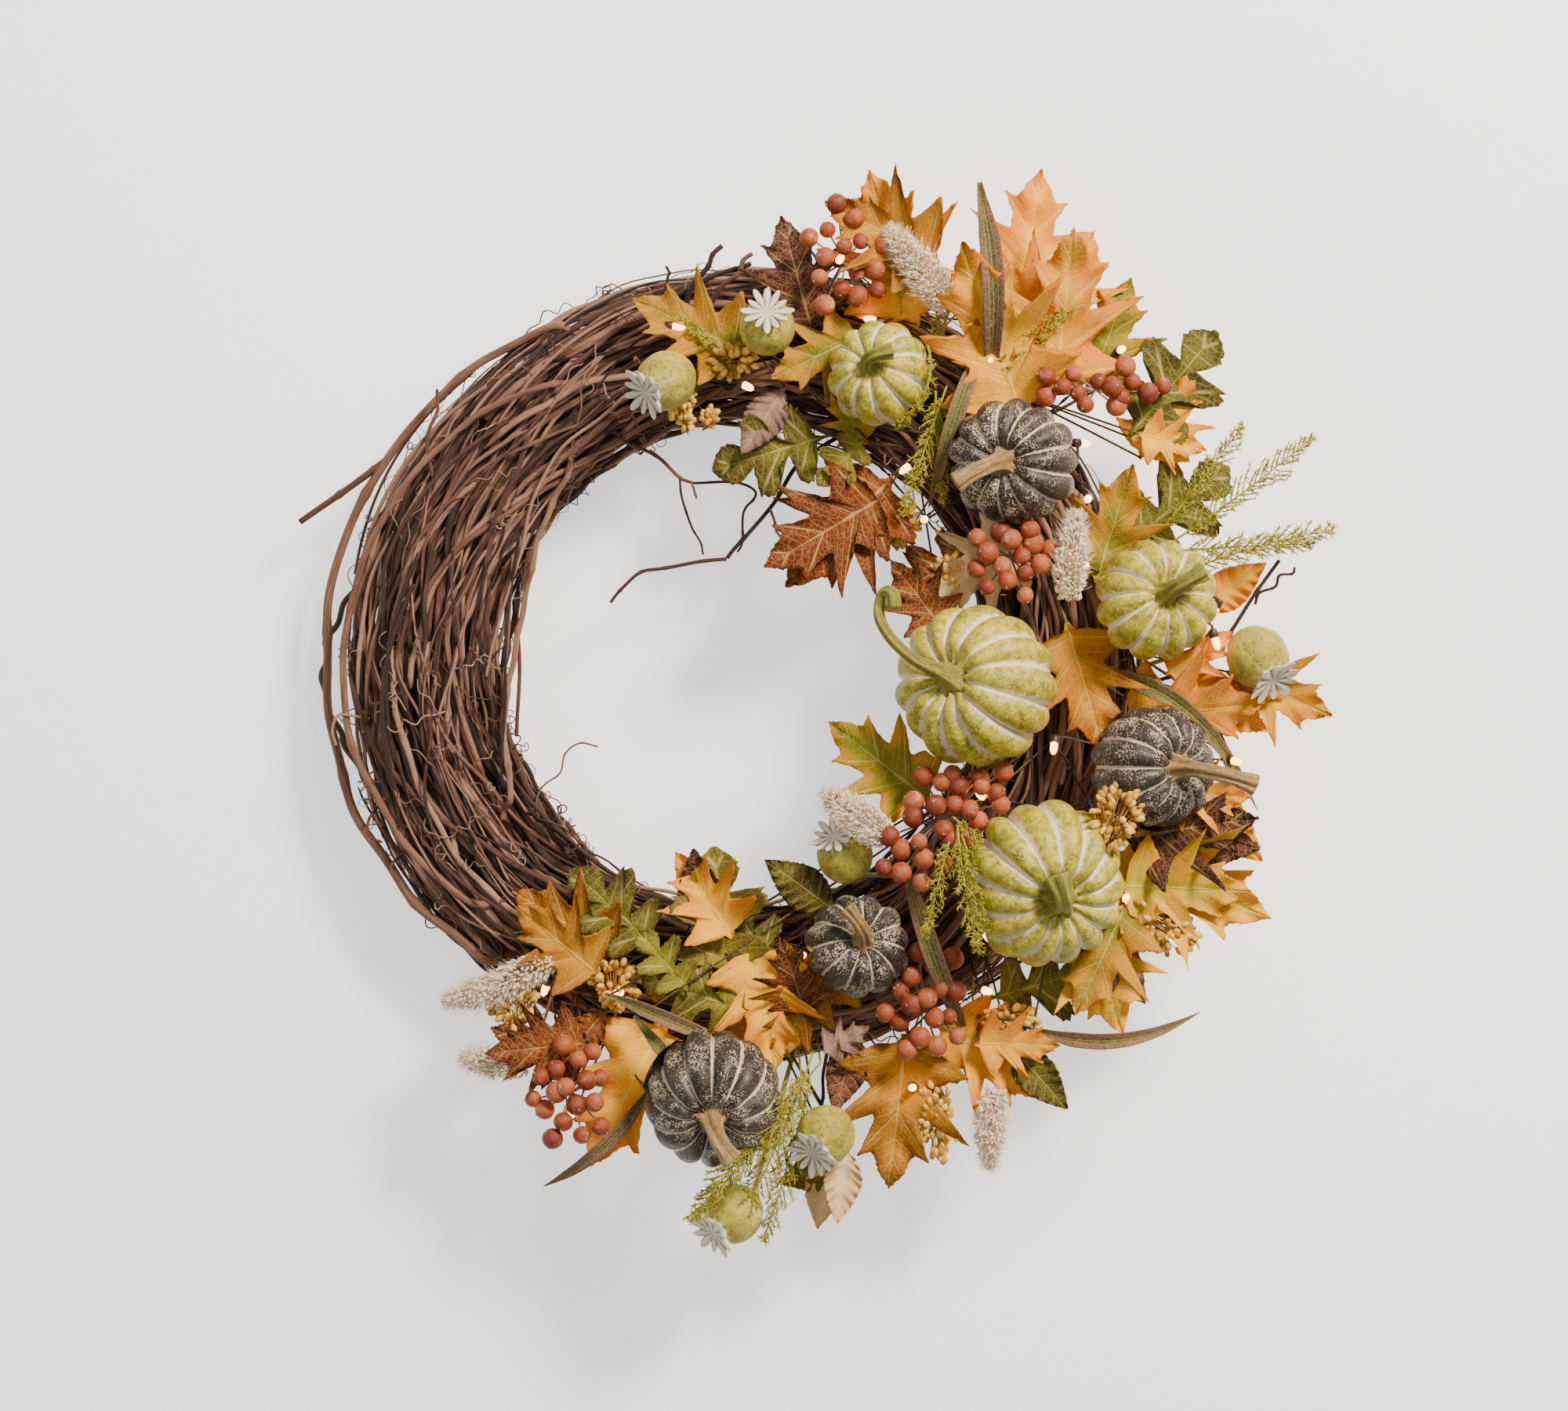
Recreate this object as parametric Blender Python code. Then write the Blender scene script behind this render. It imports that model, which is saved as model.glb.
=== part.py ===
"""Harvest door wreath: a ring of bundled vine canes with pumpkins, poppy pods, berries, foxtails and leaf sprays
picked into it, a string of small lights, and a battery box let into its back.

Metres, +Z up, the front faces -Y, the door side is +Y. The origin is the point that a hook carries.
Everything is placed from the ring: a clock angle from the top, an outward offset from the ring's mean circle,
and a height in front of the bundle."""

import math

import bpy
import bmesh
from mathutils import Vector

MM = 0.001

# Vine ring
RING_RADIUS = 224 * MM
BUNDLE_HALF_WIDTH = 54 * MM
BUNDLE_HALF_DEPTH = 36 * MM
BUNDLE_STATIONS = 54
BUNDLE_LOBES = 9
LOBE_DEPTH = 2.5 * MM
BUNDLE_TWIST_TURNS = 2

# Picks: the stiff stems pushed into the bundle
PICK_RADIUS = 2.0 * MM
PICK_CLEARANCE = 0.4 * MM
PICK_DEPTH = 18 * MM
STEM_RADIUS = 1.2 * MM
STEM_LEVEL = 20 * MM

# Pumpkins
PUMPKIN_LIFT = 11 * MM
PUMPKIN_FLATTEN = 0.74
PUMPKIN_RIBS = 12
RIB_DEPTH = 0.08
STEM_GAP = 1.2 * MM

# Leaves
LEAF_THICKNESS = 1.2 * MM
LEAF_STEP = 0.3 * MM
LEVEL_START = 7.0 * MM
LEVEL_GAP = 1.7 * MM
LEVELS = {letter: LEVEL_START + i * (LEAF_THICKNESS + LEVEL_GAP) for i, letter in enumerate("ABCD")}

# Berries and pods
BERRY_RADIUS = 7 * MM
POD_SIDES = 10

# Loose canes
CANE_RADIUS = 3.4 * MM
CANE_CLEARANCE = 0.4 * MM

# Light string
WIRE_RADIUS = 0.9 * MM
BULB_RADIUS = 2.4 * MM
WIRE_LIFT = 3.6 * MM
WIRE_SWING_DEGREES = 34
WIRE_WAVES = 12
WIRE_PHASE_DEGREES = -6
BULB_EVERY = 6

# Battery box: its inside follows the cells, and its outside follows its inside
BOX_CLOCK = 175
BOX_PROUD = 3.4 * MM
BOX_WALL = 2 * MM
BOX_RIM = 1.95 * MM
SWITCH_END = 16 * MM
CELL_COUNT = 3
CELL_RADIUS = 7.2 * MM
CELL_LENGTH = 50 * MM
CELL_GAP = 0.7 * MM
CELL_SIDE_CLEARANCE = 0.6 * MM
CELL_SEAT_CLEARANCE = 0.3 * MM
CELL_TOP_CLEARANCE = 0.2 * MM
CONTACT_SPACE = 3 * MM
COVER_THICKNESS = 1.6 * MM
COVER_TONGUE = 1.8 * MM
SLIDE_CLEARANCE = 0.3 * MM
RECESS_CLEARANCE = 1.5 * MM
CELL_PITCH = 2 * CELL_RADIUS + CELL_GAP
BAY_HALF_HEIGHT = CELL_COUNT / 2 * CELL_PITCH + CELL_SIDE_CLEARANCE
BOX_LENGTH = CELL_LENGTH + 2 * CONTACT_SPACE + 2 * BOX_WALL + SWITCH_END
BOX_HEIGHT = 2 * (BAY_HALF_HEIGHT + COVER_TONGUE + BOX_RIM)
BOX_DEPTH = BOX_WALL + CELL_SEAT_CLEARANCE + 2 * CELL_RADIUS + CELL_TOP_CLEARANCE + 2 * COVER_THICKNESS + SLIDE_CLEARANCE

# Hanging loop
LOOP_OFFSET_X = 40 * MM
LOOP_RISE = 17 * MM
LOOP_INSET = 10 * MM
LOOP_HEIGHT = RING_RADIUS + BUNDLE_HALF_WIDTH + LOOP_RISE
LOOP_DEPTH = BUNDLE_HALF_DEPTH - LOOP_INSET
LOOP_RADIUS = 11 * MM
LOOP_WIRE = 1.3 * MM
LOOP_LEG = 62 * MM

BACK_PLANE = BUNDLE_HALF_DEPTH + BOX_PROUD


def clear_scene():
    for obj in list(bpy.data.objects):
        bpy.data.objects.remove(obj, do_unlink=True)


clear_scene()
wreath = bpy.data.collections.new("harvest_wreath")
bpy.context.scene.collection.children.link(wreath)
helpers = bpy.data.collections.new("cutters")
helpers.hide_render = True
bpy.context.scene.collection.children.link(helpers)

ring_axis = bpy.data.objects.new("ring_axis", None)
ring_axis.location = (-LOOP_OFFSET_X, -LOOP_DEPTH, -LOOP_HEIGHT)
wreath.objects.link(ring_axis)


def material(name, colour, roughness, metallic=0.0):
    made = bpy.data.materials.new(name)
    made.use_nodes = True
    shader = made.node_tree.nodes["Principled BSDF"]
    shader.inputs["Base Color"].default_value = (*colour, 1)
    shader.inputs["Roughness"].default_value = roughness
    shader.inputs["Metallic"].default_value = metallic
    return made


VINE = material("vine_bark", (0.25, 0.13, 0.07), 0.8)
TWIG = material("twig_bark", (0.22, 0.12, 0.07), 0.75)
GREEN = material("pumpkin_green", (0.42, 0.43, 0.13), 0.55)
DARK = material("pumpkin_dark", (0.08, 0.09, 0.07), 0.55)
STALK = material("pumpkin_stalk", (0.45, 0.36, 0.2), 0.7)
POD = material("poppy_pod", (0.62, 0.6, 0.38), 0.7)
BERRY = material("terracotta_berry", (0.5, 0.15, 0.06), 0.5)
FOXTAIL = material("foxtail_seed", (0.75, 0.66, 0.55), 0.8)
RUST = material("rust_leaf", (0.55, 0.22, 0.07), 0.75)
ORANGE = material("orange_leaf", (0.75, 0.33, 0.07), 0.75)
OLIVE = material("olive_leaf", (0.25, 0.26, 0.09), 0.75)
GRASS = material("green_blade", (0.33, 0.4, 0.13), 0.6)
WIRE = material("brown_wire", (0.12, 0.06, 0.03), 0.5)
PLASTIC = material("brown_plastic", (0.1, 0.06, 0.04), 0.5)
SWITCH = material("black_plastic", (0.03, 0.03, 0.03), 0.4)
CELL = material("cell_wrap", (0.15, 0.15, 0.16), 0.35)
CONTACT = material("plated_contact", (0.7, 0.7, 0.7), 0.3, 1.0)
STEEL = material("florist_wire", (0.2, 0.2, 0.2), 0.4, 1.0)


def at(clock, out=0.0, front=0.0):
    """A point in the ring's own axes: clock angle in degrees, outward offset, height in front of the bundle."""
    turn = math.radians(clock)
    reach = RING_RADIUS + out
    return Vector((reach * math.sin(turn), -BUNDLE_HALF_DEPTH - front, reach * math.cos(turn)))


def on_skin(clock, section, lift):
    """A point lifted off the bundle's skin. Section angle 0 is the outer edge, 90 the front, 180 the inner edge."""
    angle = math.radians(section)
    out = (BUNDLE_HALF_WIDTH + lift) * math.cos(angle)
    ahead = (BUNDLE_HALF_DEPTH + lift) * math.sin(angle)
    point = at(clock, out)
    point.y = -ahead
    return point


def new_object(name, mesh, skin, collection):
    obj = bpy.data.objects.new(name, mesh)
    obj.parent = ring_axis
    collection.objects.link(obj)
    if skin:
        mesh.materials.append(skin)
    return obj


def mesh_object(name, bm, skin, collection=None):
    bmesh.ops.recalc_face_normals(bm, faces=bm.faces)
    mesh = bpy.data.meshes.new(name)
    bm.to_mesh(mesh)
    bm.free()
    obj = new_object(name, mesh, skin, collection or wreath)
    if collection is helpers:
        obj.hide_render = True
        obj.display_type = "WIRE"
    return obj


def boolean(obj, other, operation, name, self_too=False):
    modifier = obj.modifiers.new(name, "BOOLEAN")
    modifier.operation = operation
    modifier.solver = "EXACT"
    modifier.object = other
    modifier.use_self = self_too
    return modifier


def close_rings(bm, rings):
    """Joins rings of vertices into a tube and caps both ends."""
    sides = len(rings[0])
    for ring, after in zip(rings, rings[1:]):
        for i in range(sides):
            j = (i + 1) % sides
            bm.faces.new((ring[i], ring[j], after[j], after[i]))
    bm.faces.new(list(reversed(rings[0])))
    bm.faces.new(rings[-1])


def sweep(bm, points, radii, sides=6):
    """A capped tube through the points. The section keeps its turn by carrying one side vector along."""
    points = [Vector(p) for p in points]
    if not isinstance(radii, (list, tuple)):
        radii = [radii] * len(points)
    along = (points[1] - points[0]).normalized()
    side = along.orthogonal().normalized()
    rings = []
    for i, (point, radius) in enumerate(zip(points, radii)):
        before = points[max(i - 1, 0)]
        after = points[min(i + 1, len(points) - 1)]
        along = (after - before).normalized()
        side = (side - along * side.dot(along)).normalized()
        other = along.cross(side)
        ring = []
        for k in range(sides):
            turn = 2 * math.pi * k / sides
            ring.append(bm.verts.new(point + (side * math.cos(turn) + other * math.sin(turn)) * radius))
        rings.append(ring)
    close_rings(bm, rings)


def smooth_path(points, steps=4):
    """A Catmull-Rom curve through the points."""
    points = [Vector(p) for p in points]
    held = [points[0] * 2 - points[1]] + points + [points[-1] * 2 - points[-2]]
    path = []
    for a, b, c, d in zip(held, held[1:], held[2:], held[3:]):
        for k in range(steps):
            t = k / steps
            path.append(0.5 * (2 * b + (c - a) * t + (2 * a - 5 * b + 4 * c - d) * t**2 + (3 * b - a - 3 * c + d) * t**3))
    return path + [points[-1]]


def lathe(bm, base, axis, profile, sides, ribs=None):
    """A closed turned body: profile is (radius, height along axis) from one pole to the other."""
    axis = Vector(axis).normalized()
    side = axis.cross(Vector((0.3, 0.2, 1))).normalized()
    other = axis.cross(side)
    rings = []
    for radius, height in profile[1:-1]:
        ring = []
        for k in range(sides):
            turn = 2 * math.pi * k / sides
            reach = radius * (ribs(k) if ribs else 1)
            ring.append(bm.verts.new(base + axis * height + (side * math.cos(turn) + other * math.sin(turn)) * reach))
        rings.append(ring)
    first = bm.verts.new(base + axis * profile[0][1])
    last = bm.verts.new(base + axis * profile[-1][1])
    for ring, after in zip(rings, rings[1:]):
        for i in range(sides):
            j = (i + 1) % sides
            bm.faces.new((ring[i], ring[j], after[j], after[i]))
    for i in range(sides):
        j = (i + 1) % sides
        bm.faces.new((rings[0][j], rings[0][i], first))
        bm.faces.new((rings[-1][i], rings[-1][j], last))


def block(bm, low, high):
    corners = [Vector((x, y, z)) for x in (low[0], high[0]) for y in (low[1], high[1]) for z in (low[2], high[2])]
    v = [bm.verts.new(c) for c in corners]
    for f in ((0, 1, 3, 2), (4, 6, 7, 5), (0, 4, 5, 1), (2, 3, 7, 6), (0, 2, 6, 4), (1, 5, 7, 3)):
        bm.faces.new([v[i] for i in f])


pick_places = []


def pick(bm, owner, clock, out, top):
    """The stiff stem of one item, from its height in front of the bundle down into its blind pocket."""
    pick_places.append((owner, clock, out))
    end = at(clock, out, top)
    foot = skin_point(clock, out) + Vector((0, PICK_DEPTH, 0))
    sweep(bm, [end, foot], PICK_RADIUS, 6)


def skin_point(clock, out):
    """The bundle's front skin straight behind a place."""
    point = at(clock, out)
    share = min(abs(out) / BUNDLE_HALF_WIDTH, 0.98)
    point.y = -BUNDLE_HALF_DEPTH * math.sqrt(1 - share**2)
    return point


def one_body(obj, inside=None):
    """Fuses the overlapping shapes of one object: a union with a small core inside it, self-crossings included."""
    seed = bmesh.new()
    points = [v.co.copy() for v in obj.data.vertices]
    middle = inside or points[0].lerp(points[3], 0.5)
    sweep(seed, [middle + Vector((0, 0.4 * MM, 0)), middle + Vector((0, 1.6 * MM, 0))], 0.5 * MM, 4)
    helper = mesh_object(obj.name + "_core", seed, None, helpers)
    boolean(obj, helper, "UNION", "fuse", True)


# ---------------------------------------------------------------- pumpkins

# name, clock, out, radius, lean (degrees), lean clock, pick out, stem length, stem turn clock, skin
PUMPKINS = (
    ("pumpkin_1", 25, -5, 36, 22, 300, -5, 30, 80, GREEN),
    ("pumpkin_2", 53, 5, 44, 20, 260, 5, 38, 240, DARK),
    ("pumpkin_3", 81, 60, 42, 12, 50, 36, 32, 60, GREEN),
    ("pumpkin_4", 95, -66, 56, 34, 285, -38, 46, 310, GREEN),
    ("pumpkin_5", 104, 62, 43, 35, 90, 38, 46, 110, DARK),
    ("pumpkin_6", 126, 27, 56, 22, 140, 22, 36, 340, GREEN),
    ("pumpkin_7", 158, -18, 36, 18, 30, -18, 30, 320, DARK),
    ("pumpkin_8", 184, 70, 47, 25, 180, 36, 30, 140, DARK),
)
PUMPKIN_PROFILE = (
    (0.0, -0.94 * PUMPKIN_FLATTEN),
    (0.50, -PUMPKIN_FLATTEN),
    (0.84, -0.68 * PUMPKIN_FLATTEN),
    (1.0, 0.0),
    (0.86, 0.68 * PUMPKIN_FLATTEN),
    (0.50, 1.02 * PUMPKIN_FLATTEN),
    (0.20, 0.86 * PUMPKIN_FLATTEN),
    (0.0, 0.81 * PUMPKIN_FLATTEN),
)


def heading(clock):
    """The direction across the front that points at this clock angle."""
    return Vector((math.sin(math.radians(clock)), 0, math.cos(math.radians(clock))))


def leaning(degrees, clock):
    """A unit vector toward the viewer, leaned over toward a clock direction."""
    lean = math.radians(degrees)
    return Vector((0, -math.cos(lean), 0)) + heading(clock) * math.sin(lean)


def make_pumpkin(name, clock, out, radius, lean, lean_clock, pick_out, stem_length, turn_clock, skin):
    radius = radius * MM
    tilt = math.radians(lean)
    half_height = radius * max(r * math.sin(tilt) - h * math.cos(tilt) for r, h in PUMPKIN_PROFILE)
    centre = at(clock, out * MM, PUMPKIN_LIFT + half_height)
    axis = leaning(lean, lean_clock)
    bm = bmesh.new()
    pick(bm, name, clock, pick_out * MM, PUMPKIN_LIFT + radius * 0.6)
    lathe(
        bm,
        centre,
        axis,
        [(r * radius, h * radius) for r, h in PUMPKIN_PROFILE],
        PUMPKIN_RIBS * 2,
        lambda k: 1 - RIB_DEPTH * (k % 2),
    )
    one_body(mesh_object(name, bm, skin))

    stem = bmesh.new()
    base = centre + axis * (0.89 * PUMPKIN_FLATTEN * radius + STEM_GAP)
    across = heading(turn_clock)
    length = stem_length * MM
    path = [base + axis * (0.62 * length * (1 - (1 - t) ** 2)) + across * (0.75 * length * t**2) for t in (0, 0.3, 0.6, 1)]
    wide = 0.15 * radius
    sweep(stem, path, [wide, wide * 0.68, wide * 0.58, wide * 0.7], 6)
    mesh_object(name.replace("pumpkin", "pumpkin_stem"), stem, STALK)


# ---------------------------------------------------------------- poppy pods

# name, clock, out, front, radius, lean, lean clock, pick clock, pick out
PODS = (
    ("poppy_pod_1", 345, -23, 42, 20, 50, 235, 345, -23),
    ("poppy_pod_2", 4, 6, 40, 19, 25, 0, 4, 6),
    ("poppy_pod_3", 89, 126, 36, 21, 55, 150, 91, 40),
    ("poppy_pod_4", 152, -76, 34, 19, 50, 330, 143, -40),
    ("poppy_pod_5", 170, 100, 42, 20, 40, 220, 164, 38),
    ("poppy_pod_6", 181, 150, 34, 20, 55, 230, 172, 40),
)
POD_PROFILE = (
    (0.0, -1.05),
    (0.36, -0.93),
    (0.82, -0.45),
    (1.0, 0.1),
    (0.84, 0.66),
    (0.46, 0.92),
    (0.76, 1.1),
    (0.74, 1.2),
    (0.0, 1.14),
)


def make_pod(name, clock, out, front, radius, lean, lean_clock, pick_clock, pick_out):
    radius = radius * MM
    centre = at(clock, out * MM, front * MM)
    axis = leaning(lean, lean_clock)
    bm = bmesh.new()
    pick(bm, name, pick_clock, pick_out * MM, STEM_LEVEL)
    lathe(bm, centre, axis, [(r * radius, h * radius) for r, h in POD_PROFILE], POD_SIDES)
    tail = centre - axis * (0.9 * radius)
    top = at(pick_clock, pick_out * MM, STEM_LEVEL - PICK_RADIUS)
    middle = tail.lerp(top, 0.4)
    middle.y = min(top.y, middle.y)
    sweep(bm, [centre, tail, middle, top], PICK_RADIUS * 0.8, 5)
    one_body(mesh_object(name, bm, POD))


# ---------------------------------------------------------------- berries

# name, pick clock, pick out, cluster centre (clock, out, front), long side, short side, clock of the long side, count
BERRIES = (
    ("berry_spray_1", 12, 38, (14, 62, 36), 74, 60, 0, 10),
    ("berry_spray_2", 50, 40, (52, 82, 40), 92, 26, 90, 8),
    ("berry_spray_3", 66, -32, (70, -27, 56), 42, 34, 90, 8),
    ("berry_spray_4", 126, -35, (128, -56, 66), 106, 30, 40, 12),
    ("berry_spray_5", 154, 31, (152, 40, 42), 70, 44, 0, 10),
    ("berry_spray_6", 204, 42, (202, 92, 38), 74, 46, 0, 10),
)


def berry(bm, centre, radius):
    """A twenty-sided ball."""
    golden = (1 + math.sqrt(5)) / 2
    corners = []
    for a in (-1, 1):
        for b in (-golden, golden):
            corners += [Vector((0, a, b)), Vector((a, b, 0)), Vector((b, 0, a))]
    scale = radius / corners[0].length
    verts = [bm.verts.new(centre + c * scale) for c in corners]
    near = 2.1 * scale
    for i in range(12):
        for j in range(i + 1, 12):
            for k in range(j + 1, 12):
                a, b, c = verts[i].co, verts[j].co, verts[k].co
                if max((a - b).length, (b - c).length, (c - a).length) < near:
                    outward = (b - a).cross(c - a).dot(a - centre) > 0
                    bm.faces.new((verts[i], verts[j], verts[k]) if outward else (verts[k], verts[j], verts[i]))


def make_berries(name, pick_clock, pick_out, middle, long_side, short_side, long_clock, count):
    bm = bmesh.new()
    pick(bm, name, pick_clock, pick_out * MM, STEM_LEVEL)
    root = at(pick_clock, pick_out * MM, STEM_LEVEL - PICK_RADIUS)
    centre = at(middle[0], middle[1] * MM, middle[2] * MM)
    hub = centre + Vector((0, 10 * MM, 0))
    sweep(bm, [root, hub], STEM_RADIUS, 5)
    places = []
    for i in range(count):
        turn = i * math.radians(137.5)
        reach = math.sqrt((i + 0.5) / count)
        spread = heading(long_clock) * (0.5 * long_side * MM * reach * math.cos(turn))
        spread += heading(long_clock + 90) * (0.5 * short_side * MM * reach * math.sin(turn))
        spread.y = -8 * MM * (1 - reach) + 3 * MM * (i % 2)
        places.append(centre + spread)
    if name == "berry_spray_4":
        leaf(bm, "maple", 118, -86, 280, 56, 0, "B", root)
        leaf(bm, "lance", 117, -66, 309, 50, 1, "B", root)
    for place in places:
        sweep(bm, [hub, place], STEM_RADIUS * 0.7, 3)
        berry(bm, place, BERRY_RADIUS)
    one_body(mesh_object(name, bm, BERRY))


# ---------------------------------------------------------------- foxtails

# name, pick clock, pick out, then (start clock, out, front), (end clock, out, front), radius
FOXTAILS = (
    ("foxtail_1", 31, 38, (((30, 57, 36), (18, 90, 40), 11),)),
    ("foxtail_2", 72, -2, (((79, 0, 62), (65, 24, 60), 9),)),
    ("foxtail_3", 136, -44, (((140, -70, 60), (148, -124, 56), 11),)),
    ("foxtail_4", 213, 0, (((213, 14, 24), (222, 86, 24), 10), ((208, 88, 20), (216, 107, 20), 8))),
    ("foxtail_5", 148, 40, (((149, 112, 30), (154, 160, 30), 9),)),
)


def make_foxtail(name, pick_clock, pick_out, plumes):
    bm = bmesh.new()
    pick(bm, name, pick_clock, pick_out * MM, STEM_LEVEL)
    root = at(pick_clock, pick_out * MM, STEM_LEVEL - PICK_RADIUS)
    for start, end, radius in plumes:
        a = at(start[0], start[1] * MM, start[2] * MM)
        b = at(end[0], end[1] * MM, end[2] * MM)
        knee = root.lerp(a, 0.5)
        knee.y = root.y - 1 * MM
        sweep(bm, [root, knee, a, a.lerp(b, 0.3)], STEM_RADIUS, 5)
        long = (b - a).length
        profile = [(0, 0), (0.7, 0.12), (1.0, 0.4), (0.8, 0.75), (0, 1)]
        lathe(bm, a, b - a, [(r * radius * MM, h * long) for r, h in profile], 7)
    one_body(mesh_object(name, bm, FOXTAIL))


# ---------------------------------------------------------------- leaves

OUTLINES = {
    "maple": (
        (0.03, -0.08), (0.05, 0.06), (0.22, 0.0), (0.42, 0.12), (0.27, 0.26), (0.52, 0.44), (0.33, 0.46),
        (0.45, 0.68), (0.20, 0.60), (0.12, 0.80), (0.02, 1.0),
    ),
    "oak": (
        (0.03, -0.08), (0.05, 0.08), (0.20, 0.20), (0.12, 0.30), (0.30, 0.44), (0.17, 0.55), (0.26, 0.72),
        (0.12, 0.82), (0.03, 1.0),
    ),
    "lance": ((0.03, -0.08), (0.10, 0.08), (0.26, 0.35), (0.24, 0.60), (0.12, 0.84), (0.01, 1.0)),
    "blade": ((0.03, -0.08), (0.055, 0.3), (0.05, 0.7), (0.005, 1.0)),
    "frond": (
        (0.02, -0.08), (0.03, 0.12), (0.14, 0.26), (0.06, 0.30), (0.17, 0.48), (0.07, 0.52), (0.14, 0.72),
        (0.05, 0.76), (0.005, 1.0),
    ),
}


def leaf(bm, kind, clock, out, toward, length, order, level, root):
    """A flat leaf of one outline, and the stalk that joins it to its pick."""
    base = at(clock, out * MM, LEVELS[level] + order * LEAF_STEP)
    up = heading(toward) * (length * MM)
    right = Vector((up.z, 0, -up.x))
    half = OUTLINES[kind]
    outline = [(x, y) for x, y in half] + [(-x, y) for x, y in reversed(half)]
    back = Vector((0, -LEAF_THICKNESS, 0))
    low = [bm.verts.new(base + right * x + up * y) for x, y in outline]
    high = [bm.verts.new(base + right * x + up * y + back) for x, y in outline]
    count = len(outline)
    for i in range(count):
        j = (i + 1) % count
        bm.faces.new((low[i], low[j], high[j], high[i]))
    bm.faces.new(list(reversed(low)))
    bm.faces.new(high)
    stalk_end = at(clock, out * MM, LEVELS[level] + 1.2 * MM)
    stalk_start = Vector((root.x, stalk_end.y, root.z))
    sweep(bm, [stalk_start, stalk_end + up * 0.06], 0.9 * MM, 4)


# name, pick clock, pick out, level, skin, leaves (kind, clock, out, heading, length)
SPRAYS = (
    ("leaf_spray_1", 355, 30, "A", OLIVE, (
        ("maple", 359, -6, 295, 75), ("maple", 11, 15, 345, 73), ("maple", 19, 15, 243, 62), ("lance", 8, -33, 212, 50))),
    ("leaf_spray_2", 20, 38, "B", ORANGE, (
        ("maple", 26, 43, 342, 95), ("maple", 37, 93, 9, 84), ("maple", 43, 95, 305, 80), ("lance", 46, 30, 352, 70))),
    ("leaf_spray_3", 44, 42, "C", OLIVE, (
        ("maple", 43, 90, 21, 68), ("maple", 51, 82, 21, 74), ("maple", 62, 86, 32, 60), ("oak", 59, 87, 40, 84))),
    ("leaf_spray_4", 88, 46, "A", OLIVE, (
        ("oak", 72, 55, 54, 82), ("maple", 76, 27, 16, 74), ("lance", 83, 92, 54, 50), ("maple", 91, 112, 114, 66),
        ("lance", 92, 74, 119, 66), ("maple", 84, 0, 165, 80))),
    ("leaf_spray_5", 112, 42, "B", ORANGE, (
        ("lance", 113, 58, 99, 88), ("lance", 106, 97, 135, 60), ("maple", 117, 67, 112, 100), ("maple", 127, 66, 160, 78),
        ("lance", 127, 72, 144, 62))),
    ("leaf_spray_6", 140, 38, "C", RUST, (
        ("oak", 143, 62, 74, 70), ("maple", 151, 60, 123, 78), ("maple", 157, 58, 186, 94), ("lance", 163, 42, 198, 50),
        ("lance", 145, 96, 137, 50))),
    ("leaf_spray_7", 177, 12, "A", ORANGE, (
        ("lance", 170, 118, 190, 48), ("lance", 168, 126, 254, 48), ("maple", 175, -12, 203, 66), ("maple", 164, -10, 211, 70),
        ("frond", 172, 60, 223, 130), ("frond", 171, 66, 195, 110))),
    ("leaf_spray_8", 208, 30, "A", ORANGE, (
        ("maple", 205, -6, 303, 74), ("oak", 198, -22, 312, 72), ("maple", 193, 32, 207, 100), ("maple", 204, 70, 291, 54),
        ("lance", 202, 33, 220, 46), ("blade", 193, 84, 230, 80))),
    ("leaf_spray_9", 193, -30, "C", OLIVE, (
        ("lance", 188, -38, 352, 56), ("oak", 183, -10, 354, 84), ("oak", 173, -6, 326, 58), ("lance", 160, -46, 307, 54),
        ("oak", 179, 14, 289, 74))),
    ("leaf_spray_10", 38, -32, "D", RUST, (
        ("oak", 19, -58, 253, 74), ("maple", 38, -66, 224, 92), ("oak", 63, -47, 239, 62), ("maple", 66, -16, 239, 72))),
    ("grass_spray", 97, 18, "D", GRASS, (
        ("blade", 91, 29, 123, 122), ("blade", 93, 79, 144, 70))),
    ("fern_spray", 66, 46, "D", GRASS, (
        ("frond", 74, 81, 56, 112), ("frond", 75, 79, 86, 92), ("frond", 72, 77, 40, 84))),
)


def make_spray(name, pick_clock, pick_out, level, skin, leaves):
    bm = bmesh.new()
    top = LEVELS[level] + 2.4 * MM
    pick(bm, name, pick_clock, pick_out * MM, top)
    root = at(pick_clock, pick_out * MM, top)
    for order, (kind, clock, out, toward, length) in enumerate(leaves):
        leaf(bm, kind, clock, out, toward, length, order, level, root)
    one_body(mesh_object(name, bm, skin))


# ---------------------------------------------------------------- canes

# name, radius share, path of (clock, section angle, lift), twig or none
CANES = (
    ("loose_cane_1", 1.0, ((218, 40, -14), (222, 34, 4), (236, 22, 9), (252, 8, 14), (268, 0, 15), (284, 4, 17), (300, 12, 12),
        (316, 24, 9), (330, 36, 4), (335, 42, -14))),
    ("loose_cane_2", 0.8, ((226, 70, -14), (230, 62, 4), (244, 46, 7), (262, 26, 8), (280, 30, 7), (296, 44, 7), (312, 60, 6),
        (324, 76, 4), (329, 82, -14))),
    ("loose_cane_3", 0.7, ((238, 128, -14), (242, 134, 4), (256, 146, 8), (272, 160, 13), (288, 164, 12), (304, 150, 8),
        (318, 136, 4), (323, 130, -14))),
    ("loose_cane_4", 0.75, ((247, -30, -12), (251, -28, 4), (259, -24, 16), (267, -22, 26), (275, -24, 22), (284, -30, 4), (288, -32, -12))),
)
STUB_PATH = ((300, 12, 12), (295, 6, 24), (288, 0, 50))


def cane_path(places):
    return smooth_path([on_skin(clock, section, lift * MM) for clock, section, lift in places], 3)


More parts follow.
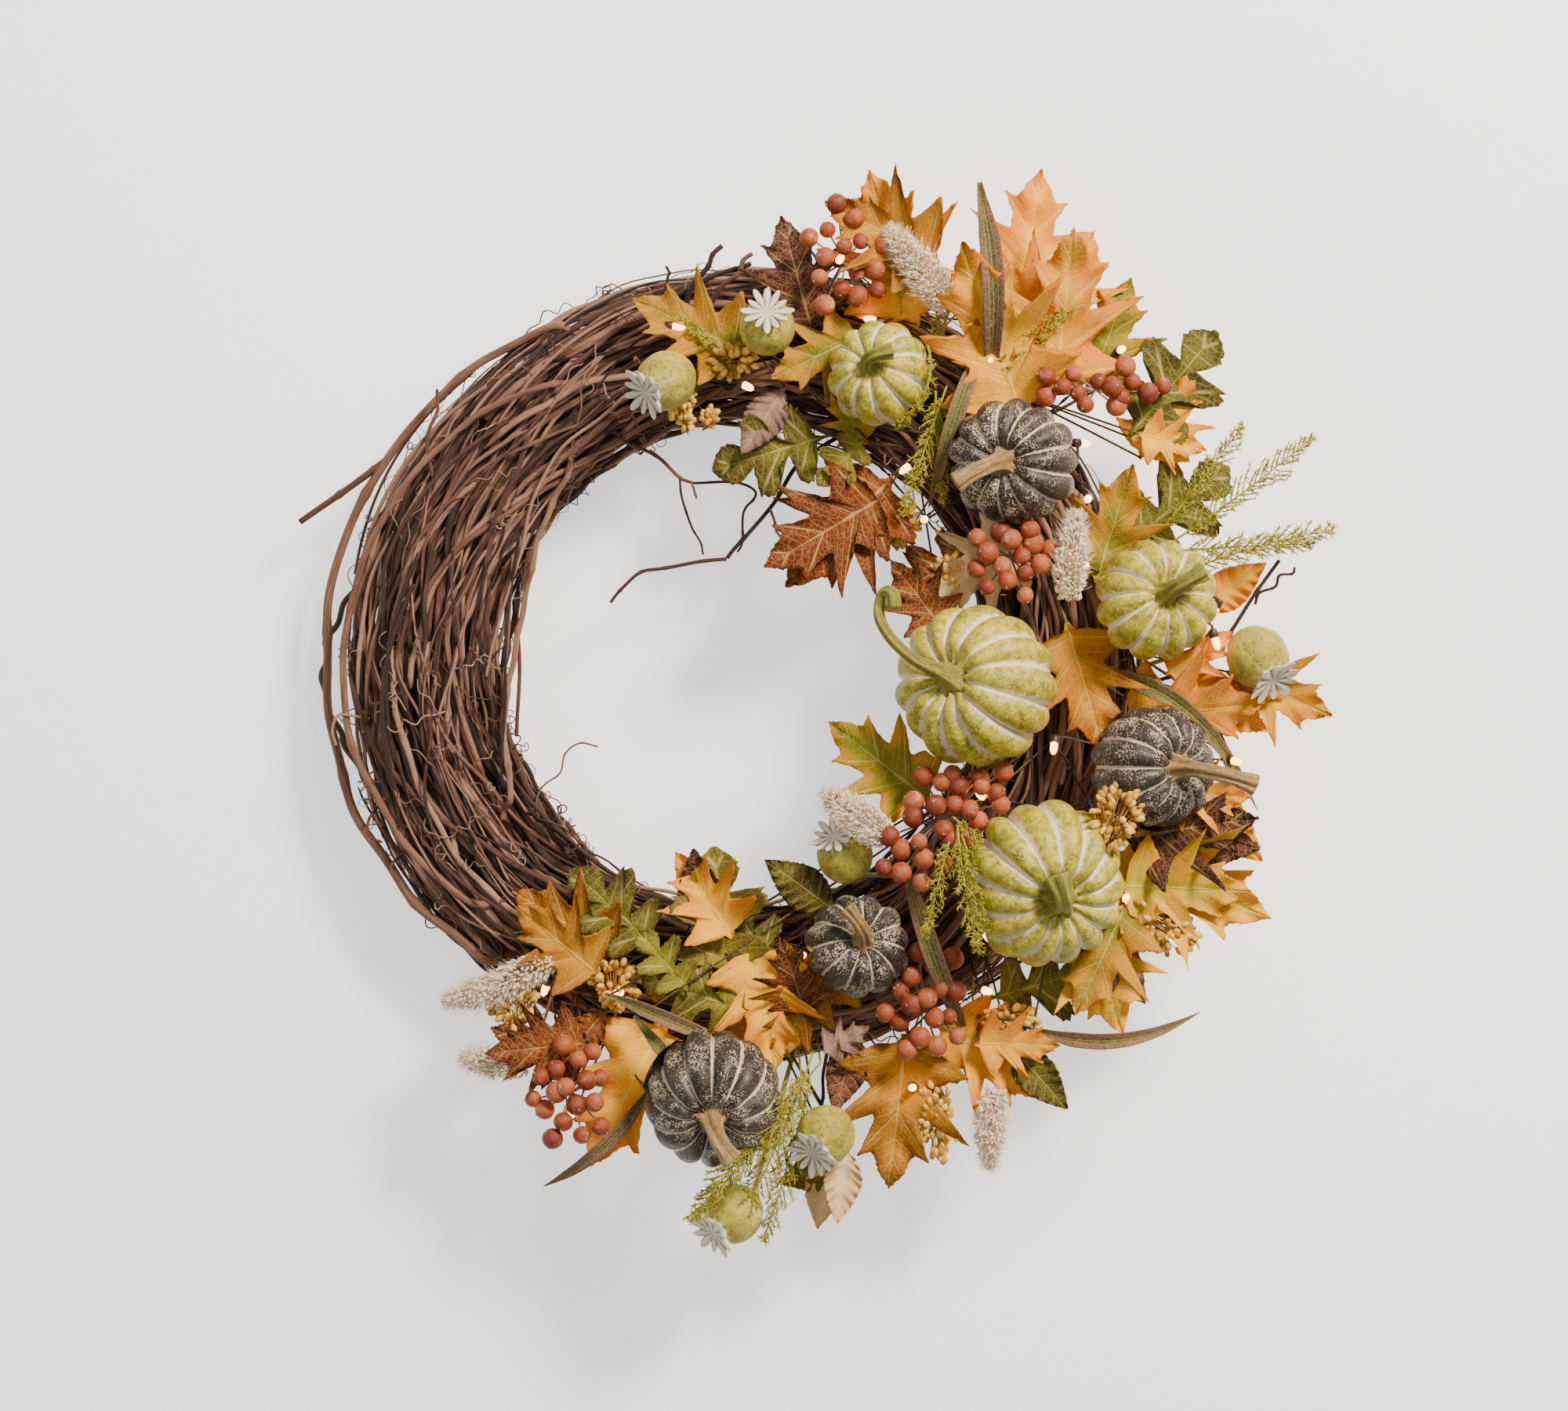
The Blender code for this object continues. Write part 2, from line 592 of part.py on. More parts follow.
def make_cane(name, share, places):
    bm = bmesh.new()
    sweep(bm, cane_path(places), CANE_RADIUS * share, 6)
    if name == "loose_cane_1":
        sweep(bm, cane_path(STUB_PATH), CANE_RADIUS * 0.8, 6)
    cane = mesh_object(name, bm, TWIG)
    if name == "loose_cane_1":
        one_body(cane, cane_path(places)[8])


# ---------------------------------------------------------------- light string


def wire_path():
    """From the battery box round the inner edge to the front, then weaving along the decorated side."""
    start = box_centre() + Vector((BOX_LENGTH / 2 - 1.2 * MM, 0, 0))
    start.y = BUNDLE_HALF_DEPTH - 8 * MM
    path = [start, start + Vector((6 * MM, 0, 0)), start + Vector((12 * MM, 5 * MM, 1 * MM))]
    path += [on_skin(161, 256, 2 * MM), on_skin(160, 232, 3 * MM), on_skin(160, 206, 3.4 * MM)]
    path += [on_skin(160.5, section, WIRE_LIFT) for section in (184, 166, 150, 132, 112)]
    first = len(path)
    steps = WIRE_WAVES * 8
    for i in range(steps + 1):
        share = i / steps
        clock = 163 - 178 * share
        swing = math.sin(2 * math.pi * WIRE_WAVES * share + math.radians(WIRE_PHASE_DEGREES))
        path.append(on_skin(clock, 90 + WIRE_SWING_DEGREES * swing, WIRE_LIFT))
    return path, first


def make_string():
    path, first = wire_path()
    radii = []
    for i in range(len(path)):
        bulb = i > first and (i - first) % BULB_EVERY == 2
        radii.append(BULB_RADIUS if bulb else WIRE_RADIUS)
    bm = bmesh.new()
    sweep(bm, path, radii, 4)
    mesh_object("light_string", bm, WIRE)


# ---------------------------------------------------------------- battery box


def box_centre():
    point = at(BOX_CLOCK)
    point.y = BACK_PLANE - BOX_DEPTH / 2
    return point


def box_block(name, low, high):
    """A cutter for the box, with corners given from the box's centre in x and z and from the back plane in y."""
    centre = box_centre()
    bm = bmesh.new()
    block(bm, (centre.x + low[0], BACK_PLANE - high[1], centre.z + low[2]), (centre.x + high[0], BACK_PLANE - low[1], centre.z + high[2]))
    return mesh_object(name, bm, None, helpers)


def make_battery_box():
    half, tall = BOX_LENGTH / 2, BOX_HEIGHT / 2
    centre = box_centre()
    bm = bmesh.new()
    block(bm, (centre.x - half, BACK_PLANE - BOX_DEPTH, centre.z - tall), (centre.x + half, BACK_PLANE, centre.z + tall))
    tray = mesh_object("battery_box", bm, PLASTIC)
    bay_end = half - SWITCH_END
    bay_tall = BAY_HALF_HEIGHT
    slot_tall = bay_tall + COVER_TONGUE
    tongue = COVER_THICKNESS
    bay = box_block("bay_cutter", (-half + BOX_WALL, -1 * MM, -bay_tall), (bay_end - BOX_WALL, BOX_DEPTH - BOX_WALL, bay_tall))
    slot = box_block(
        "slot_cutter",
        (-half - 2 * MM, tongue, -slot_tall),
        (bay_end, tongue * 2 + 2 * SLIDE_CLEARANCE, slot_tall),
    )
    mouth = box_block("mouth_cutter", (-half - 2 * MM, -1 * MM, -bay_tall), (bay_end, tongue + 0.5 * MM, bay_tall))
    well = box_block("switch_cutter", (half - 11 * MM, -1 * MM, -8 * MM), (half - 4 * MM, 2.6 * MM, 8 * MM))
    lead = bmesh.new()
    place = wire_path()[0][0]
    sweep(lead, [place - Vector((0.6 * MM, 0, 0)), place + Vector((4 * MM, 0, 0))], WIRE_RADIUS + 0.4 * MM, 8)
    lead_hole = mesh_object("lead_cutter", lead, None, helpers)
    for cutter in (bay, slot, mouth, well, lead_hole):
        boolean(tray, cutter, "DIFFERENCE", cutter.name)

    gap = SLIDE_CLEARANCE
    tongues = bmesh.new()
    block(
        tongues,
        (centre.x - half, BACK_PLANE - 2 * tongue - gap, centre.z - slot_tall + gap),
        (centre.x + bay_end - gap, BACK_PLANE - tongue - gap, centre.z + slot_tall - gap),
    )
    cover = mesh_object("battery_cover", tongues, PLASTIC)
    raised = bmesh.new()
    block(
        raised,
        (centre.x - half, BACK_PLANE - tongue - 2 * gap, centre.z - bay_tall + gap),
        (centre.x + bay_end - gap, BACK_PLANE, centre.z + bay_tall - gap),
    )
    boolean(cover, mesh_object("cover_raise", raised, None, helpers), "UNION", "raise")

    knob = bmesh.new()
    block(
        knob,
        (centre.x + half - 10.6 * MM, BACK_PLANE - 2.3 * MM, centre.z - 6.5 * MM),
        (centre.x + half - 4.4 * MM, BACK_PLANE - 0.5 * MM, centre.z - 0.5 * MM),
    )
    mesh_object("slide_switch", knob, SWITCH)

    bay_middle = (-half + bay_end) / 2
    floor = BACK_PLANE - BOX_DEPTH + BOX_WALL
    for i in range(CELL_COUNT):
        cell = bmesh.new()
        way = 1 if i % 2 else -1
        middle = Vector((centre.x + bay_middle, floor + CELL_RADIUS + CELL_SEAT_CLEARANCE, centre.z + (i - (CELL_COUNT - 1) / 2) * CELL_PITCH))
        profile = ((0, 0), (0.9, 0), (1, 0.02), (1, 0.95), (0.92, 0.97), (0.38, 0.97), (0.38, 1), (0, 1))
        start = middle - Vector((way * CELL_LENGTH / 2, 0, 0))
        lathe(cell, start, Vector((way, 0, 0)), [(r * CELL_RADIUS, h * CELL_LENGTH) for r, h in profile], 16)
        mesh_object(f"battery_{i + 1}", cell, CELL)
    for name, side in (("contact_left", -1), ("contact_right", 1)):
        plate = bmesh.new()
        inner = centre.x + bay_middle + side * (CELL_LENGTH / 2 + 0.3 * MM)
        outer = inner + side * 0.8 * MM
        block(
            plate,
            (min(inner, outer), floor + 1 * MM, centre.z - bay_tall + 1 * MM),
            (max(inner, outer), floor + 2 * CELL_RADIUS - 1.4 * MM, centre.z + bay_tall - 1 * MM),
        )
        mesh_object(name, plate, CONTACT)


# ---------------------------------------------------------------- hanging loop


def loop_path():
    centre = Vector((LOOP_OFFSET_X, LOOP_DEPTH, LOOP_HEIGHT - LOOP_RADIUS - LOOP_WIRE))
    arch = [centre + Vector((-LOOP_RADIUS * math.cos(a * math.pi / 8), 0, LOOP_RADIUS * math.sin(a * math.pi / 8))) for a in range(9)]
    down = Vector((0, 0, -LOOP_LEG + LOOP_RADIUS))
    return [arch[0] + down, arch[0] + down * 0.5] + arch + [arch[-1] + down * 0.5, arch[-1] + down]


def make_loop():
    bm = bmesh.new()
    path = loop_path()
    sweep(bm, [p + Vector((0, 0, 2 * LOOP_WIRE)) for p in path], LOOP_WIRE, 6)
    mesh_object("hanging_loop", bm, STEEL)


# ---------------------------------------------------------------- vine bundle


def make_bundle():
    bm = bmesh.new()
    sides = BUNDLE_LOBES * 2
    rings = []
    for i in range(BUNDLE_STATIONS):
        clock = 360 * i / BUNDLE_STATIONS
        turn = 360 * BUNDLE_TWIST_TURNS * i / BUNDLE_STATIONS / BUNDLE_LOBES
        ring = []
        for k in range(sides):
            depth = LOBE_DEPTH * (k % 2)
            ring.append(bm.verts.new(on_skin(clock, 360 * k / sides + turn, -depth)))
        rings.append(ring)
    for i in range(BUNDLE_STATIONS):
        ring, after = rings[i], rings[(i + 1) % BUNDLE_STATIONS]
        shift = 2 * BUNDLE_TWIST_TURNS if i == BUNDLE_STATIONS - 1 else 0
        for k in range(sides):
            a, b = k, (k + 1) % sides
            c, d = (k + shift) % sides, (k + 1 + shift) % sides
            bm.faces.new((ring[a], ring[b], after[d], after[c]))
    bundle = mesh_object("vine_bundle", bm, VINE)

    pockets = bmesh.new()
    for owner, clock, out in pick_places:
        mouth = at(clock, out * 1.0, 8 * MM)
        foot = skin_point(clock, out) + Vector((0, PICK_DEPTH + 0.5 * MM, 0))
        sweep(pockets, [mouth, foot], PICK_RADIUS + PICK_CLEARANCE, 6)
    boolean(bundle, mesh_object("pick_pockets", pockets, None, helpers), "DIFFERENCE", "pockets")

    for name, share, places in CANES:
        run = bmesh.new()
        path = cane_path(places)
        path[0] += (path[0] - path[1]).normalized() * 0.6 * MM
        path[-1] += (path[-1] - path[-2]).normalized() * 0.6 * MM
        sweep(run, path, CANE_RADIUS * share + CANE_CLEARANCE, 6)
        boolean(bundle, mesh_object(name + "_way", run, None, helpers), "DIFFERENCE", name)

    ways = bmesh.new()
    legs = loop_path()
    for top, foot in ((legs[1], legs[0]), (legs[-2], legs[-1])):
        raised = Vector((0, 0, 2 * LOOP_WIRE))
        sweep(ways, [top + raised + Vector((0, 0, 30 * MM)), foot + raised - Vector((0, 0, 0.6 * MM))], LOOP_WIRE + PICK_CLEARANCE, 6)
    boolean(bundle, mesh_object("loop_ways", ways, None, helpers), "DIFFERENCE", "loop")

    clear = RECESS_CLEARANCE
    recess = box_block(
        "box_recess",
        (-BOX_LENGTH / 2 - clear, -4 * MM, -BOX_HEIGHT / 2 - clear),
        (BOX_LENGTH / 2 + clear, BOX_DEPTH + clear, BOX_HEIGHT / 2 + clear),
    )
    boolean(bundle, recess, "DIFFERENCE", "recess")
    lead = bmesh.new()
    sweep(lead, wire_path()[0][:7], WIRE_RADIUS + 0.6 * MM, 6)
    boolean(bundle, mesh_object("lead_way", lead, None, helpers), "DIFFERENCE", "lead")


def part_round_picks(obj):
    """Cuts notches in a leafy item where other items' picks pass through it."""
    ways = bmesh.new()
    for owner, clock, out in pick_places:
        if owner != obj.name:
            sweep(ways, [at(clock, out, STEM_LEVEL - 0.2 * MM), at(clock, out, 3 * MM)], PICK_RADIUS + PICK_CLEARANCE, 6)
    boolean(obj, mesh_object(obj.name + "_notches", ways, None, helpers), "DIFFERENCE", "notches")


for row in PUMPKINS:
    make_pumpkin(*row)
for row in PODS:
    make_pod(*row)
for row in BERRIES:
    make_berries(*row)
for row in FOXTAILS:
    make_foxtail(*row)
for row in SPRAYS:
    make_spray(*row)
for row in CANES:
    make_cane(*row)
make_string()
make_battery_box()
make_loop()
for row in SPRAYS:
    part_round_picks(bpy.data.objects[row[0]])
part_round_picks(bpy.data.objects["berry_spray_4"])
make_bundle()
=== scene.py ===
"""Looks of the harvest door wreath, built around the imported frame."""

import math

import bpy
import numpy as np
from bpy.props import FloatProperty, FloatVectorProperty, IntProperty, PointerProperty
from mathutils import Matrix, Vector


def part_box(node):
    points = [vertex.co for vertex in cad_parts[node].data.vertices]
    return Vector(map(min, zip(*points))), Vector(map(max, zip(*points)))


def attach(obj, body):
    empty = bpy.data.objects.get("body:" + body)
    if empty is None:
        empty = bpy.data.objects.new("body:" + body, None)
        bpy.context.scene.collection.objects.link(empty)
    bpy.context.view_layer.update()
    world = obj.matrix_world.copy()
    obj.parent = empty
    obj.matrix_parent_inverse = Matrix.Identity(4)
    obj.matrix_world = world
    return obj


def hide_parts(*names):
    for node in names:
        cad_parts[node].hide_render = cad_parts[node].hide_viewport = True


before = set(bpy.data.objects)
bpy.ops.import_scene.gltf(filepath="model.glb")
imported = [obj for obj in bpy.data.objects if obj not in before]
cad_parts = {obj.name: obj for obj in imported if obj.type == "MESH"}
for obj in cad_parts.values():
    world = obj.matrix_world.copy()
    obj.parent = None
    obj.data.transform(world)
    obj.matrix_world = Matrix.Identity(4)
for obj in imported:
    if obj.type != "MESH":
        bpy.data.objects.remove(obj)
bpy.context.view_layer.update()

bl_info = {
    "name": "Harvest Door Wreath",
    "version": (1, 0, 0),
    "blender": (4, 5, 0),
    "location": "View3D > Sidebar > Wreath",
    "description": "Builds the visible vines, pumpkins, pods, berries, leaves and lights of a door wreath",
    "category": "Object",
}

MM = 0.001
TURN = 2 * np.pi
GOLDEN = math.radians(137.5)
AHEAD = np.array([0, -1, 0])
STRAND_GAP = 0.62 * MM
BODY = "wreath"


def box_of(node):
    low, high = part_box(node)
    return np.array(low), np.array(high)


RING_LOW, RING_HIGH = box_of("vine_bundle")
CENTRE = (RING_LOW + RING_HIGH) / 2
HALF_DEPTH = (RING_HIGH[1] - RING_LOW[1]) / 2
OUTER = (RING_HIGH[2] - RING_LOW[2]) / 2
HALF_WIDTH = 54 * MM
RING = OUTER - HALF_WIDTH
BACK = box_of("battery_box")[1][1]
ROOT = -16  # stems start this far (mm) behind the front of the ring, inside the canes
ROOT_REACH = 40  # and no further than this (mm) to either side of its middle


# ------------------------------------------------------------------ places


def at(clock, out, front):
    """Points by clock angle, outward offset (mm) and height in front of the bundle (mm)."""
    clock, out, front = np.broadcast_arrays(*(np.asarray(v, float) for v in (clock, out, front)))
    turn = np.radians(clock)
    reach = RING + out * MM
    return CENTRE + np.stack([reach * np.sin(turn), -HALF_DEPTH - front * MM, reach * np.cos(turn)], -1)


def skin(clock, section, lift):
    """Points lifted (mm) off the bundle's skin. Section 0 is the outer edge, 90 the front, 180 the inner."""
    clock, section, lift = np.broadcast_arrays(*(np.asarray(v, float) for v in (clock, section, lift)))
    turn, angle = np.radians(clock), np.radians(section)
    reach = RING + (HALF_WIDTH + lift * MM) * np.cos(angle)
    ahead = (HALF_DEPTH + lift * MM) * np.sin(angle)
    return CENTRE + np.stack([reach * np.sin(turn), -ahead, reach * np.cos(turn)], -1)


def heading(clock):
    turn = np.radians(np.asarray(clock, float))
    return np.stack([np.sin(turn), 0 * turn, np.cos(turn)], -1)


def leaning(degrees, clock):
    """A unit vector toward the viewer, leaned over toward a clock direction."""
    lean = math.radians(degrees)
    return np.array([0, -math.cos(lean), 0]) + heading(clock) * math.sin(lean)


def unit(v):
    return v / np.maximum(np.linalg.norm(v, axis=-1, keepdims=True), 1e-12)


def smoothstep(x, low, high):
    t = np.clip((x - low) / (high - low), 0, 1)
    return t * t * (3 - 2 * t)


def through(points, count):
    """A Catmull-Rom curve through the points, resampled to count stations."""
    points = np.asarray(points, float)
    held = np.concatenate([[2 * points[0] - points[1]], points, [2 * points[-1] - points[-2]]])
    t = np.linspace(0, len(points) - 1 - 1e-9, count)
    i = t.astype(int)
    t = (t - i)[:, None]
    a, b, c, d = held[i], held[i + 1], held[i + 2], held[i + 3]
    return 0.5 * (2 * b + (c - a) * t + (2 * a - 5 * b + 4 * c - d) * t**2 + (3 * b - a - 3 * c + d) * t**3)


def bowed(start, end, sag, count):
    """A curve from start to end whose middle is moved back by sag (mm)."""
    return through([start, (start + end) / 2 - AHEAD * sag * MM, end], count)


def rooted(clock, out, end):
    """A stem's curve from inside the canes, below a place on the ring, to the stem's end."""
    return bowed(at(clock, np.clip(out, -ROOT_REACH, ROOT_REACH), ROOT), end, 3, 14)


def polar(side, other, angle):
    """The unit circle at these angles in the plane of two vectors."""
    return side * np.cos(angle) + other * np.sin(angle)


def column(rng, low, high, count):
    """One random value for each member, as a column."""
    return rng.uniform(low, high, (count, 1))


def tints(rng, count, low=0):
    """One random tint for each member, for its whole surface."""
    return rng.uniform(low, 1, (count, 1, 1))


def between_stations(path, station):
    """Points at fractional stations of a path, and the unit tangents there."""
    i = station.astype(int)
    step = path[i + 1] - path[i]
    return path[i] + step * (station - i)[:, None], unit(step)


# ------------------------------------------------------------------ surfaces


def frames(path):
    """Tangents, and side vectors carried along each path without spin, one station at a time."""
    along = unit(np.gradient(path, axis=1))
    least = np.eye(3)[np.argmin(np.abs(along[:, 0]), axis=1)]
    side = np.empty_like(along)
    side[:, 0] = unit(np.cross(along[:, 0], least))
    for i in range(1, path.shape[1]):
        held = side[:, i - 1]
        side[:, i] = unit(held - along[:, i] * (held * along[:, i]).sum(-1, keepdims=True))
    return along, side, np.cross(along, side)


def two_strands(path, turn):
    """Two strands wound round a path, each a gap from it: path +- gap (side cos turn + other sin turn)."""
    _, side, other = frames(path[None])
    twist = polar(side[0], other[0], turn[:, None]) * STRAND_GAP
    return np.stack([path + twist, path - twist])


def corners(low_u, high_u, low_v, high_v):
    """The UVs of a quad's four corners."""
    pairs = ((low_u, low_v), (high_u, low_v), (high_u, high_v), (low_u, high_v))
    return np.stack([np.stack(pair, -1) for pair in pairs], -2)


class Shape:
    """The points, faces, corner UVs and point values of one piece, gathered as whole arrays."""

    def __init__(self):
        self.points, self.quads, self.tris, self.quad_uv, self.tri_uv = [], [], [], [], []
        self.values = {}
        self.count = 0

    def lattice(self, points, u=(0, 1), v=None, **values):
        """Closed tubes points[k, row, column]: each row is a ring, and each end closes on its middle point.
        The corner UV is (u across the columns, v of the row)."""
        k, rows, cols = points.shape[:3]
        index = np.arange(k * rows * cols).reshape(k, rows, cols)
        turned = np.roll(index, -1, axis=2)
        quads = np.stack([index[:, :-1], turned[:, :-1], turned[:, 1:], index[:, 1:]], -1)
        across = np.linspace(u[0], u[1], cols + 1)
        v = np.broadcast_to(np.linspace(0, 1, rows) if v is None else v, (k, rows))
        body = (k, rows - 1, cols)
        sides = (across[:-1], across[1:], v[:, :-1, None], v[:, 1:, None])
        quad_uv = corners(*(np.broadcast_to(side, body) for side in sides))
        ends = np.stack([points[:, 0].mean(1), points[:, -1].mean(1)], 1)
        middle = k * rows * cols + np.arange(2 * k).reshape(k, 2)
        cap = (k, cols)
        first = np.stack([np.broadcast_to(middle[:, :1], cap), turned[:, 0], index[:, 0]], -1)
        last = np.stack([np.broadcast_to(middle[:, 1:], cap), index[:, -1], turned[:, -1]], -1)
        tri_u = np.stack([(across[:-1] + across[1:]) / 2, across[1:], across[:-1]], -1)
        fan = (k, cols, 3)
        tri_low = np.stack([np.broadcast_to(tri_u, fan), np.broadcast_to(v[:, :1, None], fan)], -1)
        flipped = tri_u[:, [0, 2, 1]]
        tri_high = np.stack([np.broadcast_to(flipped, fan), np.broadcast_to(v[:, -1:, None], fan)], -1)
        whole = np.concatenate([points.reshape(-1, 3), ends.reshape(-1, 3)])
        self.quads.append(quads.reshape(-1, 4) + self.count)
        self.tris.append(np.concatenate([first.reshape(-1, 3), last.reshape(-1, 3)]) + self.count)
        self.quad_uv.append(quad_uv.reshape(-1, 2))
        self.tri_uv.append(np.concatenate([tri_low.reshape(-1, 2), tri_high.reshape(-1, 2)]))
        for name, value in values.items():
            wide = np.asarray(value, float)
            tail = wide.shape[-1:] if name.startswith("colour") else ()
            grid = np.broadcast_to(wide, (k, rows, cols) + tail)
            caps = np.stack([grid[:, 0, 0], grid[:, -1, 0]], 1)
            flat = np.concatenate([grid.reshape((-1,) + tail), caps.reshape((-1,) + tail)])
            self.values.setdefault(name, []).append((self.count, flat))
        self.points.append(whole)
        self.count += len(whole)

    def tubes(self, path, radius, sides, lobes=0, lobe_depth=0.0, lobe_turn=0.0, **values):
        """Round tubes: path[k, station] swept by a circle, r (1 + depth cos(lobes a + turn s))."""
        path = np.asarray(path, float)
        if path.ndim == 2:
            path = path[None]
        radius = np.broadcast_to(np.asarray(radius, float), path.shape[:2])
        _, side, other = frames(path)
        angle = np.arange(sides) * TURN / sides
        share = np.linspace(0, 1, path.shape[1])[:, None]
        wave = 1 + lobe_depth * np.cos(lobes * angle + lobe_turn * share)
        reach = radius[..., None] * wave
        ring = polar(side[:, :, None], other[:, :, None], angle[:, None])
        steps = np.linalg.norm(np.diff(path, axis=1), axis=-1)
        length = np.concatenate([np.zeros((len(path), 1)), np.cumsum(steps, 1)], 1)
        self.lattice(path[:, :, None] + ring * reach[..., None], v=length, **values)

    def lathe(self, base, axis, reach, height, cols, u=(0, 1), wave=1, rise=0, **values):
        """Turned bodies: base[k], axis[k], reach and height [k or 1, row], from the low pole up."""
        base, axis = np.atleast_2d(base), unit(np.atleast_2d(axis))
        least = np.eye(3)[np.argmin(np.abs(axis), axis=1)]
        side = unit(np.cross(axis, least))
        other = np.cross(axis, side)
        reach, height = np.atleast_2d(reach), np.atleast_2d(height)
        angle = np.arange(cols) * TURN / cols
        ring = polar(side[:, None, None], other[:, None, None], angle[:, None])
        size = (len(base), reach.shape[1], cols)
        wide = np.broadcast_to(reach[:, :, None] * wave, size)
        tall = np.broadcast_to(height[:, :, None] + rise, size)
        points = base[:, None, None] + ring * wide[..., None] + axis[:, None, None] * tall[..., None]
        self.lattice(points, u=u, **values)


def make_piece(name, shape, finish, nodes=()):
    """Turns gathered arrays into a mesh object at the origin that rides on a body of the frame."""
    points = np.concatenate(shape.points)
    quads, tris = np.concatenate(shape.quads), np.concatenate(shape.tris)
    mesh = bpy.data.meshes.new(name)
    mesh.vertices.add(len(points))
    mesh.vertices.foreach_set("co", points.astype(np.float32).ravel())
    mesh.loops.add(4 * len(quads) + 3 * len(tris))
    order = np.concatenate([quads.ravel(), tris.ravel()])
    mesh.loops.foreach_set("vertex_index", order.astype(np.int32))
    mesh.polygons.add(len(quads) + len(tris))
    starts = np.concatenate([np.arange(len(quads)) * 4, 4 * len(quads) + np.arange(len(tris)) * 3])
    mesh.polygons.foreach_set("loop_start", starts.astype(np.int32))
    mesh.update(calc_edges=True)
    corner_uv = np.concatenate(shape.quad_uv + shape.tri_uv)
    mesh.uv_layers.new(name="UVMap").data.foreach_set("uv", corner_uv.astype(np.float32).ravel())
    for key, parts in shape.values.items():
        colour = key.startswith("colour")
        full = np.zeros((len(points), 4) if colour else len(points))
        for start, part in parts:
            full[start : start + len(part)] = part
        kind, field = ("FLOAT_COLOR", "color") if colour else ("FLOAT", "value")
        mesh.attributes.new(key, kind, "POINT").data.foreach_set(field, full.astype(np.float32).ravel())
    mesh.polygons.foreach_set("use_smooth", np.ones(len(mesh.polygons), bool))
    mesh.materials.append(finish)
    obj = bpy.data.objects.new(name, mesh)
    bpy.context.scene.collection.objects.link(obj)
    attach(obj, BODY)
    if nodes:
        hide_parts(*nodes)


# ------------------------------------------------------------------ material arithmetic


def hue(text):
    """A linear colour from six hexadecimal digits."""
    parts = [int(text[i : i + 2], 16) / 255 for i in (0, 2, 4)]
    return tuple(p / 12.92 if p <= 0.04045 else ((p + 0.055) / 1.055) ** 2.4 for p in parts) + (1.0,)


class Signal:
    """One socket of a material. Arithmetic on it adds Math nodes."""

    def __init__(self, maker, socket):
        self.maker, self.socket = maker, socket

    def __add__(self, other):
        return self.maker.maths("ADD", self, other)

    def __sub__(self, other):
        return self.maker.maths("SUBTRACT", self, other)

    def __mul__(self, other):
        return self.maker.maths("MULTIPLY", self, other)

    def __abs__(self):
        return self.maker.maths("ABSOLUTE", self)


